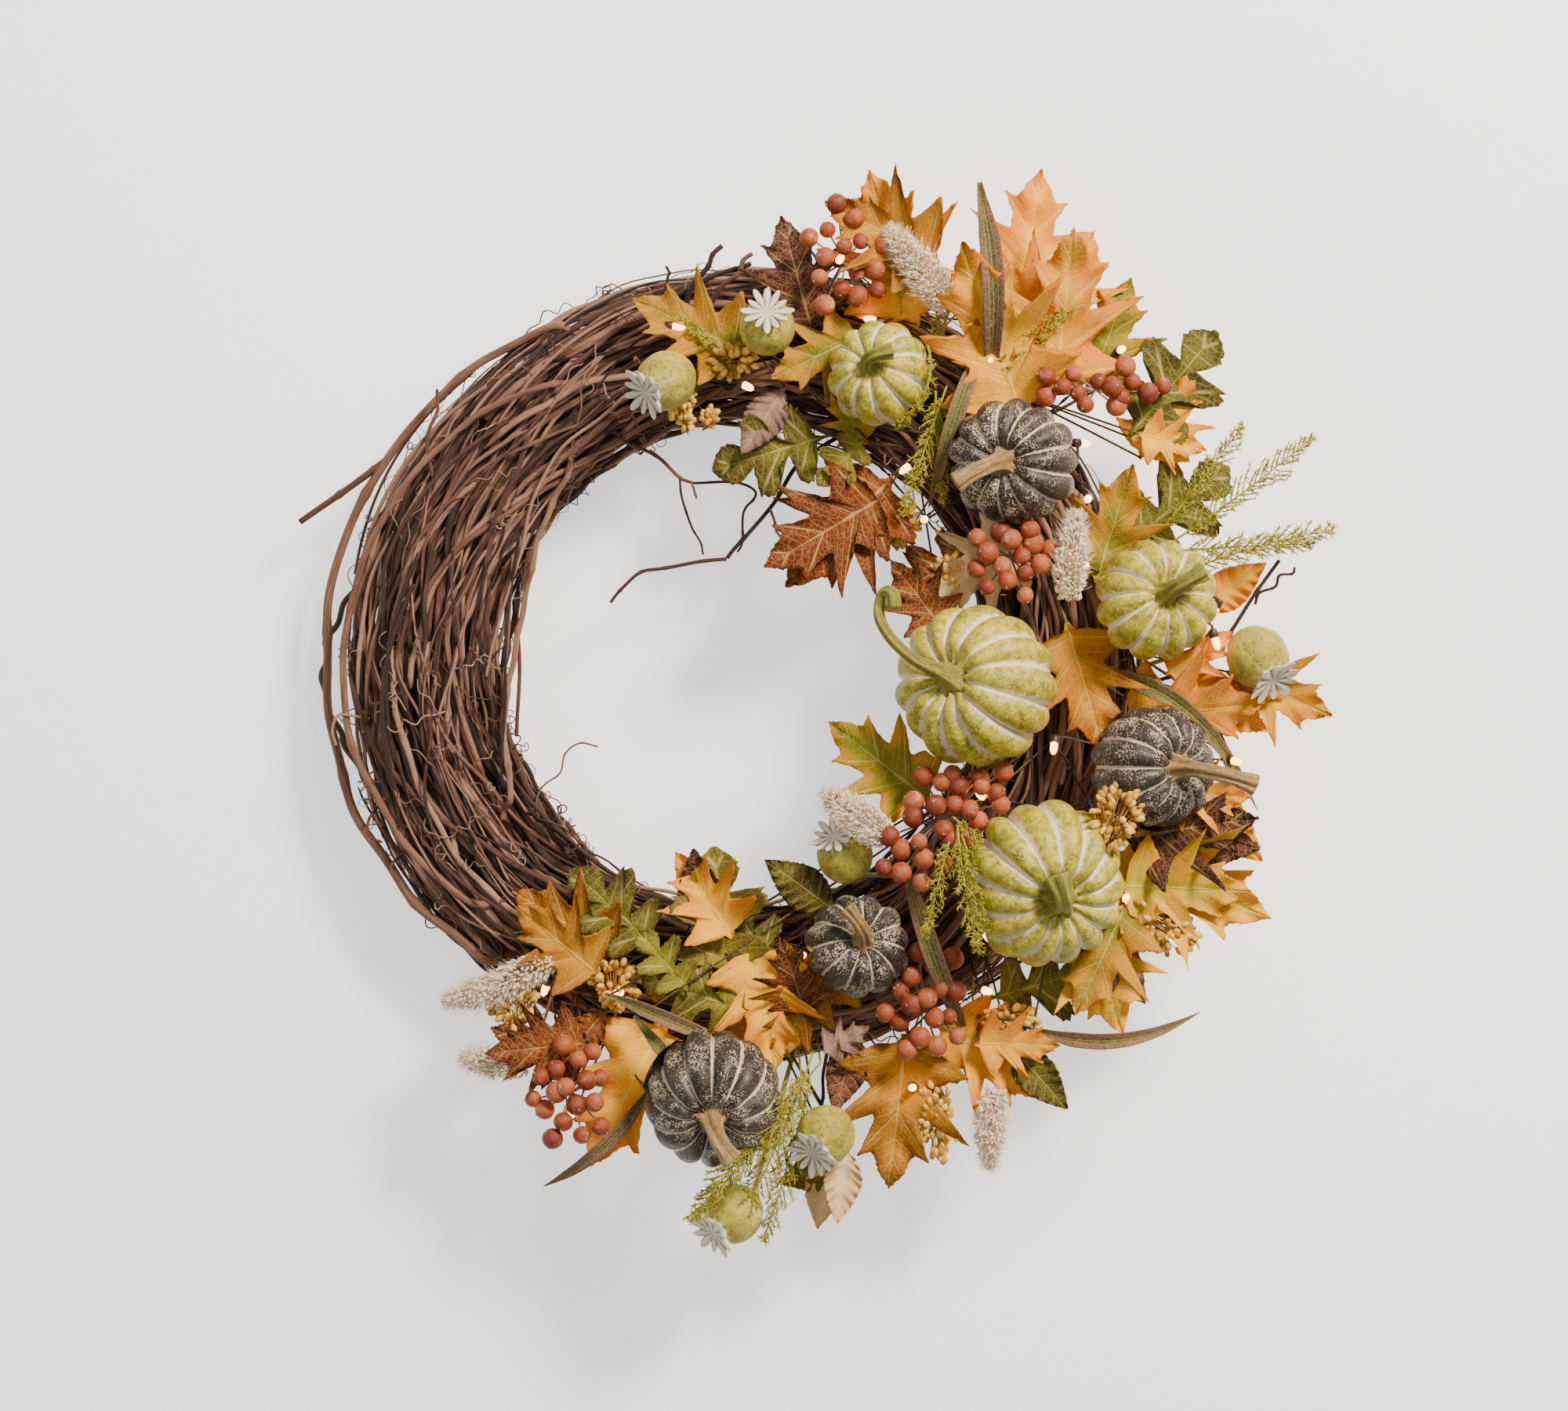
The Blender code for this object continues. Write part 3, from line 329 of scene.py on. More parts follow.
class Finish:
    """A procedural material under construction. A colour is six hexadecimal digits, a tuple or a signal."""

    def __init__(self, name):
        self.material = bpy.data.materials.new(name)
        self.material.use_nodes = True
        self.tree = self.material.node_tree
        self.tree.nodes.clear()
        self.out = self.tree.nodes.new("ShaderNodeOutputMaterial")
        self.cached = {}

    def node(self, kind, settings=None, inputs=None, output=0):
        """Any node: its settings first, then its sockets' values or links. Returns one output."""
        made = self.tree.nodes.new(kind)
        for key, value in (settings or {}).items():
            setattr(made, key, value)
        for key, value in (inputs or {}).items():
            if isinstance(value, Signal):
                self.tree.links.new(value.socket, made.inputs[key])
            else:
                made.inputs[key].default_value = hue(value) if isinstance(value, str) else value
        return Signal(self, made.outputs[output])

    def maths(self, operation, *values):
        return self.node("ShaderNodeMath", {"operation": operation}, dict(enumerate(values)))

    def mix(self, share, low, high):
        return self.node("ShaderNodeMix", {"data_type": "RGBA"}, {0: share, 6: low, 7: high}, 2)

    def ramp(self, value, *stops):
        """Colours by value: each stop is a place and a colour."""
        made = self.node("ShaderNodeValToRGB", None, {0: value})
        elements = made.socket.node.color_ramp.elements
        while len(elements) < len(stops):
            elements.new(0.5)
        for element, (place, colour) in zip(elements, stops):
            element.position = place
            element.color = hue(colour)
        return made

    def between(self, value, low, high, start=0.0, end=1.0):
        settings = {"interpolation_type": "SMOOTHSTEP"}
        return self.node("ShaderNodeMapRange", settings, {0: value, 1: low, 2: high, 3: start, 4: end})

    def once(self, key, kind, settings=None, output=0):
        if key not in self.cached:
            self.cached[key] = self.node(kind, settings, None, output)
        return self.cached[key]

    def place(self):
        return self.once("place", "ShaderNodeTexCoord", None, 3)

    def uv_parts(self):
        uv = self.once("uv", "ShaderNodeUVMap", {"uv_map": "UVMap"})
        parts = self.node("ShaderNodeSeparateXYZ", None, {0: uv})
        return parts, Signal(self, parts.socket.node.outputs[1])

    def attribute(self, name, output=2):
        return self.once("attribute " + name, "ShaderNodeAttribute", {"attribute_name": name}, output)

    def noise(self, scale, detail, rough=0.55, where=None):
        inputs = {"Vector": where or self.place(), "Scale": scale, "Detail": detail, "Roughness": rough}
        return self.node("ShaderNodeTexNoise", None, inputs)

    def spots(self, scale, feature="F1"):
        """Distance to the nearest scattered point, or to the nearest edge between two of their cells."""
        inputs = {"Vector": self.place(), "Scale": scale}
        return self.node("ShaderNodeTexVoronoi", {"feature": feature}, inputs)

    def bent(self, u, reach, along):
        """Texture places on a tube: u runs round it, with no seam."""
        angle = u * TURN
        across = self.maths("COSINE", angle) * reach, self.maths("SINE", angle) * reach
        return self.vector(*across, along)

    def vector(self, x, y, z):
        return self.node("ShaderNodeCombineXYZ", None, {0: x, 1: y, 2: z})

    def bump(self, height, strength, distance):
        """Relief: strength 0 to 1, distance in metres."""
        inputs = {"Height": height, "Strength": strength, "Distance": distance}
        return self.node("ShaderNodeBump", None, inputs)

    def gloss(self, grain, low, high):
        """Roughness that follows a fine noise."""
        return self.between(grain, 0.3, 0.7, low, high)

    def surface(self, colour, roughness, normal=None, **fixed):
        """The Principled shader. Constants go on its own sockets, named here with _ for a space."""
        inputs = {"Base Color": colour, "Roughness": roughness}
        if normal:
            inputs["Normal"] = normal
        inputs.update({key.replace("_", " "): value for key, value in fixed.items()})
        shader = self.node("ShaderNodeBsdfPrincipled", None, inputs)
        self.tree.links.new(shader.socket, self.out.inputs[0])
        return self.material


def bark(name, dark, mid, light):
    """Stringy bark: streaks run along the cane (UV v is metres along it), each cane has its own tint."""
    f = Finish(name)
    u, v = f.uv_parts()
    tint = f.attribute("tint")
    where = f.bent(u, 1.6, v * 16.0 + tint * 40.0)
    streak, fine = f.noise(3.2, 5.0, 0.65, where), f.noise(11.0, 3.0, 0.7, where)
    patch = f.noise(22.0, 3.0, 0.5)
    share = tint * 0.85 + streak * 0.95 + patch * 0.4 - 0.61
    colour = f.ramp(share, (0.18, dark), (0.5, mid), (0.86, light))
    # Pale tan flecks where the fine noise is high: partly scratches on the bark, partly painted highlights.
    scratch_and_highlight = f.between(fine, 0.56, 0.74)
    colour = f.mix(scratch_and_highlight * 0.42, colour, "c39a7c")
    # Near-black streaks where the streak noise is low: painted shade in the bark's furrows and crevices.
    painted_crevice_shade = f.between(streak * 0.6 + fine * 0.4, 0.46, 0.34)
    colour = f.mix(painted_crevice_shade * 0.85, colour, "1a0d08")
    height = streak * 0.6 + fine * 0.5
    return f.surface(colour, f.gloss(fine, 0.62, 0.84), f.bump(height, 0.85, 0.0012))


def seeds_skin(name, scale, detail, roughness, relief, *colours):
    """Small seeds or needles: each has its own tint, with a fine noise over it."""
    f = Finish(name)
    tint, fine = f.attribute("tint"), f.noise(scale, detail)
    colour = f.ramp(tint * 0.8 + fine * 0.3 - 0.08, *colours)
    return f.surface(colour, roughness, f.bump(fine, 0.4, 0.0006) if relief else None)


# ------------------------------------------------------------------ vines

CANE_STATIONS = 150
CANE_SIDES = 6
CANE_REACH = 0.93  # the canes' centres keep to the ring's section at this scale
CANE_TWIST = 0.6  # spread of how fast a cane turns inside the section


def past_box(x, z):
    """How far points lie outside the battery box's outline, seen from the front."""
    low, high = box_of("battery_box")
    middle, half = (low + high) / 2 - CENTRE, (high - low) / 2
    return np.maximum(np.abs(x - middle[0]) - half[0], np.abs(z - middle[2]) - half[2])


def cane_batch(shape, seed, count, low, high, thick):
    """Canes wound round the ring: each keeps a place in the elliptical section and turns slowly in it,
    out = W rho cos(phi), depth = D rho sin(phi), phi = phi0 + k angle, with small kinks and node swellings.
    Where the battery box sits, the depth is held short of its seat."""
    rng = np.random.default_rng(seed)

    def pick(a, b):
        return column(rng, a, b, count)

    def wave(size, turns):
        return size * np.sin(turns * angle + pick(0, TURN))

    share = np.linspace(0, 1, CANE_STATIONS)[None]
    angle = pick(0, TURN) + pick(0.55, 1.12) * TURN * share
    rho = np.sqrt(pick(low**2, high**2)) * (1 + wave(0.07, pick(1, 3)))
    phi = pick(0, TURN) + rng.normal(0.25, CANE_TWIST, (count, 1)) * angle + wave(0.3, 2.5)
    spacing = pick(0.075, 0.13)
    beat = angle * RING / spacing + pick(0, 1)
    saw = np.abs((beat % 1) - 0.5) * 2
    thickness = (thick[0] + (thick[1] - thick[0]) * pick(0, 1) ** 1.7) * MM
    kink = thickness * 0.55 * (saw - 0.5)
    out = HALF_WIDTH * CANE_REACH * rho * np.cos(phi) + kink * np.cos(pick(0, TURN))
    deep = HALF_DEPTH * CANE_REACH * rho * np.sin(phi) + kink * np.sin(pick(0, TURN))
    out = out + wave(2.6 * MM, pick(6, 13)) + wave(0.9 * MM, pick(18, 34))
    deep = deep + wave(1.4 * MM, 8) + wave(0.8 * MM, pick(16, 30))
    x, z = (RING + out) * np.sin(angle), (RING + out) * np.cos(angle)
    seat = box_of("battery_box")[0][1] - CENTRE[1] - 1.5 * MM
    limit = seat + (HALF_DEPTH - 0.6 * MM - seat) * smoothstep(past_box(x, z), 4 * MM, 26 * MM)
    swell = np.exp(-((((beat + 0.5) % 1) - 0.5) ** 2) / 0.0016)
    radius = thickness * (1 + 0.3 * swell) * (1 - 0.35 * np.abs(share - 0.5) ** 2)
    radius = radius * (0.55 + 0.45 * smoothstep(np.minimum(share, 1 - share), 0, 0.004))
    deep = np.minimum(deep, limit - radius)
    path = CENTRE + np.stack([x, deep, z], -1)
    shape.tubes(path, radius, CANE_SIDES, tint=tints(rng, count))


# Canes that stand off the ring: radius (mm), then clock, section and lift (mm) of each point
LOOSE = {
    "loose_cane_1": (3.4, ((218, 40, -14), (222, 34, 4), (236, 22, 9), (252, 8, 14), (268, 0, 15),
                           (284, 4, 17), (300, 12, 12), (316, 24, 9), (330, 36, 4), (335, 42, -14))),
    "loose_cane_2": (2.7, ((226, 70, -14), (230, 62, 4), (244, 46, 7), (262, 26, 8), (280, 30, 7),
                           (296, 44, 7), (312, 60, 6), (324, 76, 4), (329, 82, -14))),
    "loose_cane_3": (2.4, ((238, 128, -14), (242, 134, 4), (256, 146, 8), (272, 160, 13), (288, 164, 12),
                           (304, 150, 8), (318, 136, 4), (323, 130, -14))),
    "loose_cane_4": (2.5, ((247, -30, -12), (251, -28, 4), (259, -24, 16), (267, -22, 26), (275, -24, 22),
                           (284, -30, 4), (288, -32, -12))),
}
STUB = (2.7, ((300, 12, 12), (295, 6, 24), (288, 0, 50)))

# Thin twigs: radius (mm), then clock, outward offset and height in front for each point
TWIGS = (
    (1.5, ((326, -30, -20), (331, -38, -18), (332, -47, -20), (337, -65, -21), (341, -84, -22),
           (344, -91, -22))),
    (1.1, ((344, -91, -22), (352, -94, -22), (359, -97, -21), (3, -101, -20), (3, -107, -20),
           (360, -117, -20), (359, -136, -20), (356, -144, -20))),
    (1.0, ((341, -85, -22), (339, -108, -24), (340, -128, -24), (340, -141, -24))),
    (1.0, ((344, -90, -22), (344, -102, -18))),
    (1.7, ((26, -40, -18), (21, -55, -20), (16, -75, -20), (13, -92, -20), (9, -111, -20),
           (359, -137, -20), (351, -148, -20))),
    (1.4, ((351, -148, -20), (331, -143, -22), (320, -134, -22), (311, -126, -22), (303, -123, -24),
           (295, -120, -25))),
    (1.1, ((9, -112, -20), (12, -122, -20), (14, -129, -18), (22, -136, -18))),
    (0.8, ((234, -43, -17), (239, -59, -14), (240, -76, -14), (244, -86, -16), (245, -97, -18),
           (241, -108, -18))),
    (0.9, ((236, -41, -17), (231, -51, -10), (227, -56, -8), (223, -55, -8), (223, -46, -8), (225, -47, -6))),
    (1.4, ((300, -44, -6), (286, -54, -10), (268, -58, -10), (254, -50, -8), (244, -36, -10))),
    (1.3, ((296, -46, -18), (280, -56, -20), (262, -54, -22), (250, -44, -20))),
    (1.5, ((301, 28, -9), (305, 44, -4), (310, 54, -4), (312, 62, -4))),
    (1.2, ((346, 37, -14), (349, 50, -9), (349, 58, -8))),
    (2.2, ((350, 26, -8), (354, 50, 4), (357, 66, 8))),
    (1.9, ((352, 22, -6), (358, 42, 10), (361, 60, 14))),
    (2.1, ((347, 32, -11), (354, 44, 0), (361, 54, 4))),
    (1.2, ((262, 40, -18), (263, 62, -12), (259, 66, -12))),
    (1.1, ((250, 40, -18), (247, 62, -12), (244, 56, -10))),
    (1.6, ((94, 40, -16), (92, 64, 4), (90, 88, 20), (87, 106, 24), (82, 130, 22), (79, 150, 18))),
    (1.1, ((83, 128, 22), (81, 146, 24), (80, 160, 24))),
    (1.4, ((167, 40, -16), (169, 62, 2), (170, 84, 8), (174, 104, 6), (175, 120, 4), (173, 140, 4))),
    (1.1, ((242, 40, -18), (240, 60, -12), (238, 58, -10))),
)
STRAYS = 14  # thin twigs that lie on the bare arc, at random


def loose_path(places, count):
    clock, section, lift = np.array(places, float).T
    return through(skin(clock, section, lift), count)


def swayed(rng, path, size, waves):
    """The path with a small wave (mm) in a random direction."""
    phase = np.linspace(0, waves, len(path)) + rng.uniform(0, 6)
    return path + size * MM * np.sin(phase)[:, None] * rng.normal(0, 1, 3)


def knotted(count, length, radius, spacing=0.07):
    """Radius along a cane with a swelling every so often and a slight taper."""
    share = np.linspace(0, 1, count)
    beat = share * length / spacing
    return radius * MM * (1 + 0.32 * np.exp(-(((beat % 1) - 0.5) ** 2) / 0.0025)) * (1 - 0.18 * share)


class WREATH_OT_vines(bpy.types.Operator):
    """Winds the canes of the ring, in three layers"""

    bl_idname = "wreath.vines"
    bl_label = "Vine ring"

    def execute(self, context):
        count = context.scene.wreath_sizes.canes_per_layer
        brown = bark("vine_bark", "2c170f", "6b4232", "b58a70")
        layers = (("vines_core", 11, 0.05, 0.72, (1.8, 3.8)), ("vines_middle", 12, 0.6, 0.98, (1.1, 3.3)),
                  ("vines_outer", 13, 0.86, 1.09, (0.7, 2.7)))
        for name, seed, low, high, thick in layers:
            shape = Shape()
            cane_batch(shape, seed, count, low, high, thick)
            make_piece(name, shape, brown, ("vine_bundle",))
        return {"FINISHED"}


class WREATH_OT_loose_canes(bpy.types.Operator):
    """Canes and twigs that stand off the ring"""

    bl_idname = "wreath.loose_canes"
    bl_label = "Loose canes"

    def execute(self, context):
        rng = np.random.default_rng(21)
        brown = bark("cane_bark", "2c170f", "6b4130", "b3886c")
        for name, (radius, places) in LOOSE.items():
            shape = Shape()
            path = swayed(rng, loose_path(places, 120), 0.7, 60)
            shape.tubes(path, knotted(120, 0.5, radius), 9, tint=rng.uniform(0.2, 0.8))
            if name == "loose_cane_1":
                stub = loose_path(STUB[1], 30)
                shape.tubes(stub, knotted(30, 0.07, STUB[0], 0.03), 9, tint=0.35)
            make_piece(name + "_bark", shape, brown, (name,))
        twigs = Shape()
        for radius, places in TWIGS:
            clock, out, front = np.array(places, float).T
            path = swayed(rng, through(at(clock, out, front), 40), 0.9, rng.uniform(9, 16))
            twigs.tubes(path, knotted(40, 0.12, radius, 0.028), 6, tint=rng.uniform(0, 1))
        share = np.linspace(0, 1, 60)[None]
        clock = column(rng, 225, 320, STRAYS) + 34 * share * rng.choice([-1, 1], (STRAYS, 1))
        section = column(rng, -30, 190, STRAYS) + share * column(rng, -40, 40, STRAYS)
        lift = 3 + 9 * np.sin(np.pi * share) * column(rng, 0.3, 1, STRAYS)
        radius = column(rng, 0.8, 1.7, STRAYS) * MM
        twigs.tubes(skin(clock, section, lift), radius, 6, tint=tints(rng, STRAYS))
        make_piece("thin_twigs", twigs, brown, ())
        return {"FINISHED"}


class WREATH_OT_tendrils(bpy.types.Operator):
    """Curled tendrils caught between the canes, most of them on the bare arc"""

    bl_idname = "wreath.tendrils"
    bl_label = "Tendrils"

    def execute(self, context):
        rng = np.random.default_rng(31)
        count = context.scene.wreath_sizes.tendrils
        share = np.linspace(0, 1, 44)[None]
        bare = column(rng, 0, 1, count) < 0.8
        clock = np.where(bare, column(rng, 205, 352, count), column(rng, 0, 205, count))
        section = column(rng, -20, 195, count)
        clock = clock + rng.normal(0, 7, (count, 1)) * share
        section = section + rng.normal(0, 22, (count, 1)) * share
        lift = column(rng, 8, 14, count) * np.sin(0.8 * np.pi * share) - 6
        axis = skin(clock, section, lift)
        _, side, other = frames(axis)
        turns = column(rng, 1.0, 3.6, count) * TURN
        curl = smoothstep(share, 0.1, 0.75) * column(rng, 2.0, 5.0, count) * MM * (1.15 - 0.6 * share)
        phase = turns * share**1.4 + column(rng, 0, TURN, count)
        path = axis + polar(side, other, phase[..., None]) * curl[..., None]
        radius = column(rng, 0.35, 0.7, count) * MM * (1.1 - 0.5 * share)
        shape = Shape()
        shape.tubes(path, radius, 5, tint=tints(rng, count))
        make_piece("tendrils", shape, bark("tendril_bark", "4a2c20", "8a5f4a", "c9a284"), ())
        return {"FINISHED"}


# ------------------------------------------------------------------ pumpkins

# clock, outward offset, radius, lean, lean clock, stem length, stem turn clock, kind, ribs
PUMPKINS = (
    (25, -5, 36, 22, 300, 30, 80, "green", 11),
    (53, 5, 44, 20, 260, 38, 240, "dark", 13),
    (81, 60, 42, 12, 50, 32, 60, "green", 12),
    (95, -66, 56, 34, 285, 46, 310, "green", 13),
    (104, 62, 43, 35, 90, 46, 110, "dark", 12),
    (126, 27, 56, 22, 140, 36, 340, "green", 14),
    (158, -18, 36, 18, 30, 30, 320, "dark", 11),
    (184, 70, 47, 25, 180, 30, 140, "dark", 13),
)
PUMPKIN_COLS, PUMPKIN_ROWS, STALK_ROWS = 192, 76, 60
FLATTEN = 0.74  # half height over radius
PUMPKIN_LIFT = 11  # from the front of the ring to the lowest point of a body (mm)
# The stem of this pumpkin is slender and ends in a curl: mm along the axis, toward the turn, across it
HOOKED = 4
HOOK = ((0, 0, 0), (12, 5, 0), (21, 17, -2), (24, 34, -1), (21, 50, 3), (16, 60, 9), (18, 62, 18),
        (24, 54, 22), (24, 47, 15))
PUMPKIN_PROFILE = ((0.02, -0.93), (0.22, -0.985), (0.5, -1.0), (0.84, -0.68), (1.0, 0.0), (0.86, 0.68),
                   (0.5, 1.0), (0.24, 0.9), (0.1, 0.82), (0.02, 0.8))


def pumpkin_place(clock, out, radius, lean, lean_clock):
    """Centre and axis: the lowest point of the leaned body sits a fixed height in front of the bundle."""
    tilt = math.radians(lean)
    half = max(radius * (r * math.sin(tilt) - h * FLATTEN * math.cos(tilt)) for r, h in PUMPKIN_PROFILE)
    return at(clock, out, PUMPKIN_LIFT + half), leaning(lean, lean_clock)


def clear_of_pumpkins(points, gap):
    """Moves points that lie inside a pumpkin straight out from its middle to a gap (mm) off its skin."""
    for clock, out, radius, lean, lean_clock, *_ in PUMPKINS:
        centre, axis = pumpkin_place(clock, out, radius, lean, lean_clock)
        offset = points - centre
        tall = (offset * axis).sum(-1, keepdims=True)
        wide = np.linalg.norm(offset - tall * axis, axis=-1, keepdims=True)
        half_wide, half_tall = (radius + gap) * MM, (radius * FLATTEN * 1.02 + gap) * MM
        size = np.sqrt((wide / half_wide) ** 2 + (tall / half_tall) ** 2)
        points = np.where(size < 1, centre + offset / np.maximum(size, 0.2), points)
    return points


def pumpkin_skin(kind, low, middle, high, stripe, speck):
    """Ribs are whole numbers of UV u. Mottle and speckle cover them, and pale stripes fill the grooves."""
    f = Finish("pumpkin_" + kind)
    u, v = f.uv_parts()
    from_groove = abs(f.maths("FRACT", u) - 0.5) * 2
    wide, fine, grain = f.noise(26.0, 4.0), f.noise(150.0, 4.0, 0.7), f.noise(620.0, 2.0)
    along = f.noise(9.0, 4.0, 0.7, f.vector(u * 1.6, v * 5.0, 0.0))
    share = fine * 1.1 + wide * 0.4 + grain * 0.5 - 0.48
    colour = f.ramp(share, (0.30, low), (0.52, middle), (0.74, high))
    if kind == "dark":
        size = f.between(f.noise(70.0, 3.0), 0.3, 0.7, 0.10, 0.46)
        colour = f.mix(f.between(f.spots(720.0) - size, 0.06, -0.06) * 0.75, colour, speck)
        colour = f.mix(f.between(f.spots(420.0) - size * 0.7, 0.04, -0.03) * 0.7, colour, speck)
        mask = f.between(from_groove + (along - 0.5) * 0.4 + (fine - 0.5) * 0.1, 0.86, 0.92)
    else:
        colour = f.mix(f.between(f.spots(300.0), 0.3, 0.18) * 0.5, colour, speck)
        mask = f.between(from_groove + (along - 0.5) * 0.7 + (fine - 0.5) * 0.3, 0.66, 0.9)
    mask = mask * f.between(v, 0.04, 0.2) * f.between(v, 1.0, 0.93)
    colour = f.mix(mask * 0.85, colour, stripe)
    # Thin dark line at the bottom of each groove: painted shade in the crease.
    crease = f.between(from_groove, 0.95, 1.0)
    colour = f.mix(crease * 0.2, colour, "2a2a1c")
    colour = f.mix(f.between(v, 0.9, 0.985) * 0.45, colour, "5c5a2c")
    height = fine * 0.5 + grain * 0.25 + mask * 0.35
    roughness = f.between(fine, 0.35, 0.65, 0.42, 0.62)
    return f.surface(colour, roughness, f.bump(height, 0.45, 0.0012))


def stalk_skin(name, low, middle, high):
    f = Finish(name)
    u, v = f.uv_parts()
    streak, fine = f.noise(2.6, 5.0, 0.65, f.bent(u, 2.2, v * 22.0)), f.noise(330.0, 3.0)
    colour = f.ramp(streak * 0.8 + fine * 0.4 - 0.1, (0.3, low), (0.52, middle), (0.75, high))
    return f.surface(colour, f.gloss(fine, 0.6, 0.8), f.bump(streak + fine * 0.5, 0.9, 0.0014))


def pumpkin_body(rng, shape, centre, axis, radius, ribs):
    """A ribbed body: r = profile (1 - 0.15 depth (1 - lobe)), lobe = |sin(pi phase)|^0.62 across each rib,
    and each rib's shoulders sink a little toward the grooves."""
    profile = through(PUMPKIN_PROFILE, PUMPKIN_ROWS)
    reach, tall = profile[:, 0] * radius * MM, profile[:, 1] * radius * FLATTEN * MM
    phase = np.arange(PUMPKIN_COLS) * ribs / PUMPKIN_COLS
    rib = phase.astype(int)
    depth = rng.uniform(0.75, 1.25, ribs)[rib]
    lobe = np.abs(np.sin(np.pi * phase)) ** 0.62
    share = np.clip(profile[:, :1], 0, 1)
    wave = 1 - 0.15 * depth * (1 - lobe) * smoothstep(share, 0.1, 0.75)
    lump = rng.normal(0, 0.016, ribs)
    oval = 1 + 0.018 * np.sin(phase * TURN / ribs * 2 + rng.uniform(0, 6))
    wave = wave * (1 + lump[rib] * lobe) * oval
    shoulder = 0.085 * radius * MM * smoothstep(np.abs(profile[:, 1:]), 0.3, 1)
    rise = np.sign(tall)[:, None] * (lobe - 1) * shoulder
    shape.lathe(centre, axis, reach, tall, PUMPKIN_COLS, (0, ribs), wave, rise)


def stalk_path(index, foot, axis, stem, turn):
    """A stem that leaves along the axis and bends toward its turn, or the curled one."""
    if index == HOOKED:
        up, over, across = (np.array(HOOK) * MM).T[:, :, None]
        return through(foot + up * axis + over * heading(turn) + across * heading(turn + 90), STALK_ROWS)
    t = np.linspace(0, 1, STALK_ROWS)[:, None]
    path = foot + axis * (0.70 * stem * MM) * (1 - (1 - t) ** 2)
    return path + heading(turn) * (0.75 * stem * MM) * t**2


class WREATH_OT_pumpkins(bpy.types.Operator):
    """Grows the ribbed pumpkins, their stems and their picks"""

    bl_idname = "wreath.pumpkins"
    bl_label = "Pumpkins"

    def execute(self, context):
        rng = np.random.default_rng(41)
        skins = {
            "green": pumpkin_skin("green", "6a6a12", "a89c22", "d2bd42", "ecdcc0", "e6d880"),
            "dark": pumpkin_skin("dark", "1a150f", "2e271e", "474036", "dcd0b4", "cdc0a2"),
        }
        stalks = {"green": stalk_skin("stalk_green", "565417", "8b842c", "b9ac58"),
                  "dark": stalk_skin("stalk_tan", "5a4226", "9a7a4c", "cbb083")}
        picks = Shape()
        slim = np.linspace(0, 1, STALK_ROWS)
        for index, (clock, out, radius, lean, lean_clock, stem, turn, kind, ribs) in enumerate(PUMPKINS, 1):
            centre, axis = pumpkin_place(clock, out, radius, lean, lean_clock)
            shape = Shape()
            pumpkin_body(rng, shape, centre, axis, radius, ribs)
            picks.tubes(rooted(clock, out, centre), 2.0 * MM, 10, tint=0.3)
            make_piece(f"pumpkin_body_{index}", shape, skins[kind], (f"pumpkin_{index}",))
            path = stalk_path(index, centre + axis * radius * FLATTEN * 0.80 * MM, axis, stem, turn)
            thin = 0.06 if index == HOOKED else 0.115
            wide = thin + 0.17 * np.exp(-slim / 0.08) + 0.035 * smoothstep(slim, 0.75, 1.0)
            wide = wide * (1 - 0.9 * smoothstep(slim, 0.992, 1.0))
            shape = Shape()
            shape.tubes(path, wide * radius * MM, 40, 5 + index % 2, 0.17, rng.uniform(1.2, 3.0))
            make_piece(f"stalk_{index}", shape, stalks[kind], (f"pumpkin_stem_{index}",))
        make_piece("pumpkin_picks", picks, bark("pick_wrap", "2c1a10", "553524", "7d5a42"), ())
        return {"FINISHED"}


# ------------------------------------------------------------------ pods, berries, plumes, seeds

# clock, out, front, radius, lean, lean clock, pick clock, pick out
PODS = (
    (345, -23, 42, 20, 50, 235, 345, -23),
    (4, 6, 40, 19, 25, 0, 4, 6),
    (89, 126, 36, 21, 55, 150, 91, 40),
    (152, -76, 34, 19, 50, 330, 143, -40),
    (170, 100, 42, 20, 40, 220, 164, 38),
    (181, 150, 34, 20, 55, 230, 172, 40),
)
POD_PROFILE = ((0.02, -1.06), (0.2, -1.03), (0.3, -0.98), (0.62, -0.8), (0.93, -0.35), (1.0, 0.1),
               (0.9, 0.55), (0.62, 0.84), (0.46, 0.95), (0.44, 1.02), (0.02, 1.04))
CROWN_PROFILE = ((0.02, 1.0), (0.4, 1.01), (0.62, 1.05), (0.84, 1.16), (0.88, 1.22), (0.7, 1.18),
                 (0.4, 1.14), (0.02, 1.12))


def pod_skin():
    """A frosted green pod, a pale crown with dark rays, and a straw stem."""
    f = Finish("poppy_pod")
    u, v = f.uv_parts()
    fine, wide, grain = f.noise(120.0, 4.0, 0.7), f.noise(45.0, 4.0, 0.6), f.noise(700.0, 2.0)
    ray = abs(f.maths("FRACT", u) - 0.5) * 2
    body = f.ramp(fine * 0.7 + wide * 0.6 - 0.15, (0.32, "847c22"), (0.5, "a89c34"), (0.72, "c8bc5c"))
    body = f.mix(f.between(f.spots(300.0), 0.30, 0.18) * 0.8, body, "6e4c22")
    near_crown = f.between(v + (ray - 0.5) * 0.12, 0.72, 0.86)
    frost = f.maths("MAXIMUM", f.between(wide, 0.58, 0.72) * 0.5, near_crown)
    body = f.mix(frost, body, "d6d3c6")
    top = f.mix(f.between(ray + (fine - 0.5) * 0.5, 0.4, 0.95) * 0.75, "dcd3bd", "7c705a")
    top = f.mix(f.between(f.spots(500.0), 0.22, 0.1) * 0.6, top, "5d4a36")
    colour = f.mix(f.attribute("stem"), f.mix(f.attribute("crown"), body, top), "9c8f5c")
    return f.surface(colour, f.gloss(fine, 0.62, 0.82), f.bump(fine + grain * 0.4, 0.6, 0.001))


